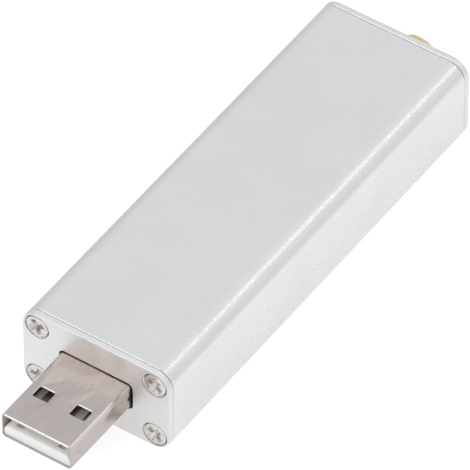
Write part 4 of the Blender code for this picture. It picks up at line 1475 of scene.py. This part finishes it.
class AnalyzerSmallChips(bpy.types.Operator):
    """Make the two-ended chips: capacitors, resistors and the ferrite bead"""

    bl_idname = "analyzer.small_chips"
    bl_label = "Small chips"

    def execute(self, context):
        for kind, slot, key in (
            ("bypass_capacitor", "ceramic", "ceramic"), ("bias_resistor", "thick_film", "alumina"),
        ):
            low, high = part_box(f"{kind}_1")
            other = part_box(f"{kind}_4")[1]
            half = (high - low) / 2
            middle = ((low.x + other.x) / 2, (low.y + other.y) / 2, SEAT)
            spans = (other.x - high.x, other.y - high.y)
            box = (Vector((-half.x, -half.y, 0)), Vector((half.x, half.y, 2 * half.z)))
            nodes = [f"{kind}_{i}" for i in range(1, 5)]
            body = bmesh.new()
            chip_body(body, *box)
            copies(f"{kind}_bodies", body, slot, key, (2, 2), spans, middle, *nodes)
            ends = bmesh.new()
            chip_ends(ends, *box, 1)
            copies(f"{kind}_ends", ends, "tinplate", "tin", (2, 2), spans, middle)
            if kind == "bias_resistor":
                film = bmesh.new()
                margin = Vector((0.06, 0.46, 0)) * MM
                lift = Vector((0, 0, 0.7)) * MM
                slab(film, box[0] + margin + lift, box[1] - margin, 0.02 * MM, 0.05 * MM)
                copies(f"{kind}_films", film, slot, "film", (2, 2), spans, middle)

        ends = bmesh.new()
        for name, kind in (
            ("coupling_capacitor", "ceramic"), ("tuner_capacitor", "ceramic"),
            ("tuner_inductor", "ferrite"), ("ferrite_bead", "ferrite"),
        ):
            body = bmesh.new()
            chip_body(body, *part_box(name))
            piece(f"{name}_fired", body, kind, kind, name)
            chip_ends(ends, *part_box(name), 0)
        piece("chip_ends_tinned", ends, "tinplate", "tin")
        return {"FINISHED"}


class AnalyzerPowerParts(bpy.types.Operator):
    """Make the tantalum capacitors, the power inductor and the two lidded ceramic parts"""

    bl_idname = "analyzer.power_parts"
    bl_label = "Large components"

    def execute(self, context):
        self.tantalum()
        self.inductor()
        self.lidded()
        return {"FINISHED"}

    def tantalum(self):
        """Yellow moulded bodies with a brown band at one end and flat terminals bent under."""
        tabs = bmesh.new()
        bands = bmesh.new()
        thick = 0.12 * MM
        for name in ("input_capacitor", "output_capacitor"):
            low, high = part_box(name)
            trim = Vector((thick, 0, 0))
            crown = Vector((0, 0, 0.02 * MM))
            body = bmesh.new()
            slab(body, low + trim, high - trim - crown, 0.06 * MM, 0.1 * MM, 0.1 * MM)
            piece(f"{name}_moulded", body, "tantalum_case", "tantalum", name)
            start = low.x + 0.55 * MM
            band_low = (start, low.y + 0.18 * MM, high.z - 0.06 * MM)
            band_high = (start + 0.6 * MM, high.y - 0.18 * MM, high.z)
            slab(bands, band_low, band_high, 0.01 * MM, 0.03 * MM)
            wide = (high.y - low.y) * 0.4
            waist = (low.z + high.z) / 2
            middle = (low.y + high.y) / 2
            for end, inwards in ((low.x + thick / 2, MM), (high.x - thick / 2, -MM)):
                line = [
                    (end + inwards * 0.3, waist), (end, waist), (end, SEAT + thick / 2),
                    (end + inwards * 0.8, SEAT + thick / 2),
                ]
                strip = ribbon(line, thick)
                add_loft(tabs, [(y, [strip]) for y in (middle - wide, middle + wide)], "Y")
                corner = (end - inwards * 0.3, middle - wide - 0.1 * MM)
                opposite = (end + inwards * 0.8, middle + wide + 0.1 * MM)
                solder_pad(tabs, corner, opposite, SEAT + 0.03 * MM, 0.04 * MM)
        piece("tantalum_bands", bands, "tantalum_case", "band")
        piece("tantalum_terminals", tabs, "tinplate", "tin")

    def inductor(self):
        """A ferrite shell with cut corners round a drum core, on two terminals."""
        low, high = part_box("power_inductor")
        x, y = (low.x + high.x) / 2, (low.y + high.y) / 2
        shell = bmesh.new()
        slab(shell, low, high, 0.1 * MM, 0.9 * MM, 0.0, ((x, y), 1.65 * MM, 0.7 * MM))
        drum = []
        for depth, radius in ((0.75, 1.3), (0.12, 1.3), (0.02, 1.2), (0.02, 0.3), (0.12, 0.2)):
            drum.append((high.z - depth * MM, [circle((x, y), radius * MM, 36)]))
        add_loft(shell, drum, "Z")
        piece("power_inductor_pressed", shell, "ferrite", "ferrite", "power_inductor")
        pads = bmesh.new()
        for side in (-MM, MM):
            corner = (x + side * 1.0, y - 1.1 * MM)
            opposite = (x + side * 2.25, y + 1.1 * MM)
            solder_pad(pads, corner, opposite, SEAT + 0.25 * MM, 0.08 * MM)
        piece("power_inductor_terminals", pads, "tinplate", "tin")

    def lidded(self):
        """Ceramic bases, each under a drawn metal lid and on four pads."""
        lids = bmesh.new()
        bases = bmesh.new()
        pads = bmesh.new()
        flange = Vector((0.1, 0.1, 0)) * MM
        dome = Vector((0.22, 0.22, 0)) * MM
        for name in ("oscillator_can", "input_filter"):
            low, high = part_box(name)
            waist = low.z + 0.45 * (high.z - low.z)
            foot = Vector((low.x, low.y, waist))
            ledge = Vector((high.x, high.y, waist + 0.12 * MM))
            lap = Vector((0, 0, 0.02 * MM))
            slab(bases, low, (high.x, high.y, waist), 0.04 * MM, 0.15 * MM)
            slab(lids, foot + flange - lap, ledge - flange, 0.03 * MM, 0.25 * MM)
            slab(lids, foot + dome, high - dome, 0.12 * MM, 0.4 * MM)
            for x, along in ((low.x, MM), (high.x, -MM)):
                for y, across in ((low.y, MM), (high.y, -MM)):
                    corner = (x - along * 0.15, y - across * 0.15)
                    opposite = (x + along * 0.8, y + across * 0.8)
                    solder_pad(pads, corner, opposite, SEAT + 0.04 * MM, 0.04 * MM)
        piece("lidded_part_lids", lids, "tinplate", "can", "oscillator_can", "input_filter")
        piece("lidded_part_bases", bases, "ceramic", "alumina")
        piece("lidded_part_pads", pads, "tinplate", "tin")


class AnalyzerShield(bpy.types.Operator):
    """Make the shield's fence and its perforated lid"""

    bl_idname = "analyzer.shield"
    bl_label = "Shield can"

    def execute(self, context):
        sheet = 0.3 * MM
        self.fence(sheet)
        self.lid(context.scene.analyzer_board, sheet)
        return {"FINISHED"}

    def fence(self, sheet):
        """A frame of bent strip, with notches at its foot."""
        low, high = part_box("shield_fence")
        middle = ((low.x + high.x) / 2, 0)
        loops = []
        for inset, corner in ((0.0, 0.7), (sheet, 0.4)):
            size = (high.x - low.x - 2 * inset, high.y - low.y - 2 * inset)
            loops.append(rounded(middle, *size, corner * MM, 5))
        notches = bmesh.new()
        count = 5
        levels = (low.z - MM, low.z + 0.35 * MM)
        for i in range(count):
            for along, across in ((0, 1), (1, 0)):
                room = high[along] - low[along]
                at = low[along] + room * (i + 0.5) / count
                for wall in (low[across], high[across]):
                    notch(notches, along, at, room / count * 0.3, wall, MM, levels)
        piece(
            "shield_fence_bent", loft([(low.z, loops), (high.z, loops)], "Z"), "tinplate", "can",
            "shield_fence", tools=[("DIFFERENCE", notches)])

    def lid(self, sizes, sheet):
        """A drawn lid with soft edges, sprung skirt fingers and a grid of holes."""
        low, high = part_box("shield_lid")
        middle = ((low.x + high.x) / 2, 0)

        def plan(inset):
            size = (high.x - low.x - 2 * inset, high.y - low.y - 2 * inset)
            return rounded(middle, *size, max(0.9 * MM - inset, 0.2 * MM), 6)

        mesh = bmesh.new()
        turn = sizes.lid_edge
        outer = [(low.z, plan(0.0)), (high.z - turn, plan(0.0))]
        for angle in (radians(30), radians(60), radians(90)):
            outer.append((high.z - turn * (1 - sin(angle)), plan(turn * (1 - cos(angle)))))
        hem, top = chain(mesh, outer, "Z")
        bend = 0.1 * MM
        roof = high.z - sheet
        inner = [(low.z, plan(sheet)), (roof - bend, plan(sheet)), (roof, plan(sheet + bend))]
        inner_hem, ceiling = chain(mesh, inner, "Z")
        cap(mesh, hem, inner_hem)
        cap(mesh, ceiling)
        cap(mesh, top)
        lid = show("shield_lid_drawn", mesh_data("shield_lid_drawn", mesh))
        slits = bmesh.new()
        levels = (low.z - MM, high.z - 0.45 * MM)
        for along, across, fingers in ((0, 1, 6), (1, 0, 4)):
            for i in range(1, fingers):
                at = low[along] + (high[along] - low[along]) * i / fingers
                for wall in (low[across], high[across]):
                    notch(slits, along, at, 0.12 * MM, wall, 0.6 * MM, levels)
        data = carve(lid, [("DIFFERENCE", slits)]).data
        bpy.data.objects.remove(lid)
        values = {
            "Count X": sizes.holes_along, "Count Y": sizes.holes_across,
            "Span X": (sizes.holes_along - 1) * sizes.hole_pitch,
            "Span Y": (sizes.holes_across - 1) * sizes.hole_pitch,
            "Middle": (middle[0], 0, high.z - sheet / 2), "Radius": sizes.hole_radius,
            "Depth": 4 * sheet, "Finish": surface("can"),
        }
        made = grow("shield_lid_perforated", data, perforated_tree(), values)
        place(made, "chassis", "tinplate", None, "shield_lid")


# A solder fillet's hollow side: share of its height, and of its reach there
FILLET = ((0.0, 1.0), (0.08, 0.97), (0.3, 0.72), (0.65, 0.5), (0.95, 0.4), (1.0, 0.3))


class AnalyzerSolder(bpy.types.Operator):
    """Make the solder at the plug, the jack and the shield"""

    bl_idname = "analyzer.solder"
    bl_label = "Solder joints"

    def execute(self, context):
        mesh = bmesh.new()
        for name in CONTACTS:
            low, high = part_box(name)
            spot = (high.x - 0.1 * MM, (low.y + high.y) / 2)
            self.cone(mesh, spot, 0.9 * MM, 0.65 * MM, BOARD_TOP, SEAT + 0.4 * MM)
        tail = span("coax_jack_body", 0)[0]
        for side in (-1, 1):
            leg = (PLUG_REAR - LEG_LENGTH / 2, side * (PLUG_HALF - PLUG_SHEET / 2))
            size = (LEG_LENGTH / 2 + 0.5 * MM, 0.5 * MM)
            self.cone(mesh, leg, *size, BOARD_TOP - 0.1 * MM, BOARD_TOP + 0.4 * MM)
            self.cone(mesh, leg, *size, BOARD_BOTTOM + 0.1 * MM, LEG_FOOT + 0.1 * MM)
            foot = ((tail + FLANGE_FRONT) / 2 - 0.2 * MM, side * (JACK_HALF - 0.6 * MM))
            size = ((FLANGE_FRONT - tail) / 2, 0.85 * MM)
            self.cone(mesh, foot, *size, BOARD_TOP, SEAT + 0.35 * MM)
            self.cone(mesh, foot, *size, BOARD_BOTTOM, BOARD_BOTTOM - 0.45 * MM)
        pin = span("coax_socket_pin", 0)[0]
        self.cone(mesh, (pin + 0.6 * MM, 0.0), 1.0 * MM, 0.6 * MM, BOARD_TOP, SEAT + 0.2 * MM)
        low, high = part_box("shield_fence")
        inset = 0.15 * MM
        for i in range(6):
            x = low.x + (high.x - low.x) * i / 5
            x = min(max(x, low.x + 0.9 * MM), high.x - 0.9 * MM)
            for y in (low.y + inset, high.y - inset):
                self.cone(mesh, (x, y), 0.8 * MM, 0.5 * MM, BOARD_TOP, SEAT + 0.15 * MM)
        piece("solder_joints", mesh, "tinplate", "tin")
        return {"FINISHED"}

    def cone(self, mesh, spot, along, across, foot, crown):
        """Add a hollow-sided fillet of solder that climbs from a pad."""
        sections = []
        for rise, share in FILLET:
            size = (2 * along * (0.4 + 0.6 * share), 2 * across * share)
            sections.append((foot + (crown - foot) * rise, [rounded(spot, *size, min(size) * 0.45, 4)]))
        add_loft(mesh, sections, "Z")


class AnalyzerHeatPad(bpy.types.Operator):
    """Make the soft pad that the board presses on the case floor"""

    bl_idname = "analyzer.heat_pad"
    bl_label = "Heat pad"

    def execute(self, context):
        most = context.scene.analyzer_board.pad_bulge
        low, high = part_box("heat_pad")
        middle = (low + high) / 2
        half = (high - low) / 2
        steps = 16
        around = 96
        ripples = 7
        square = 14
        sections = []
        for step in range(steps + 1):
            angle = radians(-90 + 180 * step / steps)
            bulge = most * (1 - cos(angle))
            points = []
            for i in range(around):
                turn = 2 * pi * i / around
                inset = bulge + most * 0.15 * (1 + sin(ripples * turn + 1.0))
                u, v = cos(turn), sin(turn)
                corner = (abs(u) ** square + abs(v) ** square) ** (-1 / square)
                points.append((middle.x + (half.x - inset) * u * corner, (half.y - inset) * v * corner))
            sections.append((middle.z + half.z * sin(angle), [points]))
        pad = piece("heat_pad_soft", loft(sections, "Z"), "silicone", "silicone", "heat_pad")
        return {"FINISHED"}


class AnalyzerStage(bpy.types.Operator):
    """Make the floor, the light and the camera"""

    bl_idname = "analyzer.stage"
    bl_label = "Studio"

    def execute(self, context):
        self.floor()
        self.world(context.scene)
        self.lamps()
        self.camera(context.scene)
        context.scene.view_settings.view_transform = "Standard"
        return {"FINISHED"}

    def floor(self):
        """A wide grey floor that keeps the shadow, looks white, and is open from below.

        Its own light makes it white to the camera, and paler in the metal than its grey would be. That
        mirror image dims to both sides of the case, as painted shade of the floor beside it.
        """
        grey = (0.42, 0.42, 0.42, 1.0)
        to_camera = 0.74
        to_metal = 0.625
        sheet = bpy.data.meshes.new("studio_floor")
        outline = rounded((0, 0), 12.0, 12.0, 2.0)
        sheet.from_pydata([(x, y, -0.05 * MM) for x, y in outline], [], [range(len(outline))])
        made = show("studio_floor", sheet)
        paper = bpy.data.materials.new("paper_white_matt")
        paper.use_nodes = True
        paper.cycles.emission_sampling = "NONE"
        tree = paper.node_tree
        tree.nodes.remove(tree.nodes["Principled BSDF"])
        path = put(tree, "ShaderNodeLightPath", out=None).outputs
        spot = put(tree, "ShaderNodeTexCoord", out="Object")
        across = put(tree, "ShaderNodeSeparateXYZ", {"Vector": spot}, out="Y")
        mirrored = path["Is Glossy Ray"]
        # Painted shade: the floor's glow in the metal dims beside the case, standing in for its shadow on
        # the floor
        for start, end, first, last in ((25, 70, 1.0, 0.3), (-120, -45, 0.55, 1.0)):
            side = put(tree, "ShaderNodeMapRange", {
                "Value": across, "From Min": start * MM, "From Max": end * MM,
                "To Min": first, "To Max": last,
            })
            mirrored = put(tree, "ShaderNodeMath", {0: mirrored, 1: side}, operation="MULTIPLY")
        seen = put(tree, "ShaderNodeMath", {
            0: path["Is Camera Ray"], 1: path["Is Transmission Ray"],
        }, operation="MAXIMUM")
        white = put(tree, "ShaderNodeMath", {0: seen, 1: to_camera}, operation="MULTIPLY")
        glow = put(tree, "ShaderNodeMath", {0: mirrored, 1: to_metal, 2: white}, operation="MULTIPLY_ADD")
        lit = put(tree, "ShaderNodeBsdfDiffuse", {"Color": grey})
        own = put(tree, "ShaderNodeEmission", {"Strength": glow})
        both = put(tree, "ShaderNodeAddShader", {0: lit, 1: own})
        clear = put(tree, "ShaderNodeBsdfTransparent")
        under = put(tree, "ShaderNodeNewGeometry", out="Backfacing")
        mix = put(tree, "ShaderNodeMixShader", {0: under, 1: both, 2: clear})
        tree.links.new(mix, tree.nodes["Material Output"].inputs["Surface"])
        made.data.materials.append(paper)

    def world(self, scene):
        """A pale room, dimmer near the horizon, paler overhead and on the right, that looks white."""
        scene.world = bpy.data.worlds.new("studio_room")
        scene.world.use_nodes = True
        tree = scene.world.node_tree
        room = tree.nodes["Background"]
        ways = put(tree, "ShaderNodeTexCoord", out="Generated")
        way = put(tree, "ShaderNodeSeparateXYZ", {"Vector": ways}, out=None).outputs
        level = put(tree, "ShaderNodeMapRange", {
            "Value": way["Z"], "From Min": 0.2, "From Max": 0.55, "To Min": 0.77, "To Max": 0.875,
        })
        for axis, start, end, first, last in (("Z", 0.82, 0.93, 1.0, 1.25), ("Y", -0.75, -0.4, 1.11, 1.0)):
            lift = put(tree, "ShaderNodeMapRange", {
                "Value": way[axis], "From Min": start, "From Max": end, "To Min": first, "To Max": last,
            })
            level = put(tree, "ShaderNodeMath", {0: level, 1: lift}, operation="MULTIPLY")
        seen = put(tree, "ShaderNodeLightPath", out="Is Camera Ray")
        strength = put(tree, "ShaderNodeMath", {0: level, 1: seen}, operation="MAXIMUM")
        tree.links.new(strength, room.inputs["Strength"])
        room.inputs["Color"].default_value = (1.0, 1.0, 1.0, 1.0)

    def lamps(self):
        """A key softbox for the plates' edges, a small one for the case's edge, and a fill.

        The fill comes from the front and isn't mirrored in the metal.
        """
        distance = 1.5
        for name, towards, size, power in (
            ("key_softbox", Vector((-0.68, 0.39, 0.62)), 0.7, 2.2),
            ("edge_softbox", Vector((0.576, -0.381, 0.724)), 0.16, 0.29),
            ("front_fill", Vector((-0.85, 0.1, 0.5)), 0.6, 5.0),
        ):
            lamp = bpy.data.lights.new(name, "AREA")
            lamp.size = size
            lamp.energy = power
            holder = show(name, lamp)
            holder.location = towards.normalized() * distance
            holder.rotation_euler = towards.to_track_quat("Z", "Y").to_euler()
            holder.visible_camera = False
            holder.visible_glossy = name != "front_fill"

    def camera(self, scene):
        """The photograph's view: a long lens from above, past the plug."""
        azimuth = radians(-55.595)
        elevation = radians(45.763)
        distance = 1.15
        aim = Vector((1.248, 0.559, 6.580)) * MM
        back = Vector((sin(azimuth) * cos(elevation), -cos(azimuth) * cos(elevation), sin(elevation)))
        lens = bpy.data.cameras.new("photograph_view")
        lens.sensor_width = 36.0
        lens.lens = 613.06
        lens.clip_start = 0.05
        lens.clip_end = 60.0
        holder = show("photograph_view", lens)
        holder.location = aim + back * distance
        holder.rotation_euler = (-back).to_track_quat("-Z", "Y").to_euler()
        scene.camera = holder


class AnalyzerPanel(bpy.types.Panel):
    """The steps that build the analyzer, in order"""

    bl_idname = "VIEW3D_PT_analyzer"
    bl_label = "Stick spectrum analyzer"
    bl_space_type = "VIEW_3D"
    bl_region_type = "UI"
    bl_category = "Analyzer"

    def draw(self, context):
        for operator in OPERATORS:
            self.layout.operator(operator.bl_idname)
        for name in GROUPS:
            group = getattr(context.scene, name)
            self.layout.label(text=group.bl_rna.name)
            for key in group.__annotations__:
                self.layout.prop(group, key)


GROUPS = {
    "analyzer_case": AnalyzerCase,
    "analyzer_screws": AnalyzerScrews,
    "analyzer_plug": AnalyzerPlug,
    "analyzer_jack": AnalyzerJack,
    "analyzer_board": AnalyzerBoardSizes,
    "analyzer_finishes": AnalyzerFinishes,
}
OPERATORS = (
    AnalyzerStage,
    AnalyzerTube,
    AnalyzerPlates,
    AnalyzerScrewSets,
    AnalyzerShell,
    AnalyzerPlugInside,
    AnalyzerJackBody,
    AnalyzerBoard,
    AnalyzerChips,
    AnalyzerSmallChips,
    AnalyzerPowerParts,
    AnalyzerShield,
    AnalyzerSolder,
    AnalyzerHeatPad,
)


def register():
    """Make Blender know the groups, the steps and the panel."""
    for kind in (*GROUPS.values(), *OPERATORS, AnalyzerPanel):
        bpy.utils.register_class(kind)
    for name, kind in GROUPS.items():
        setattr(bpy.types.Scene, name, PointerProperty(type=kind))


def unregister():
    """Undo register."""
    for name in GROUPS:
        delattr(bpy.types.Scene, name)
    for kind in (AnalyzerPanel, *reversed(OPERATORS), *reversed(GROUPS.values())):
        bpy.utils.unregister_class(kind)


def main():
    """Register everything and run every step."""
    register()
    for operator in OPERATORS:
        group, name = operator.bl_idname.split(".")
        getattr(getattr(bpy.ops, group), name)()


if __name__ == "__main__":
    main()
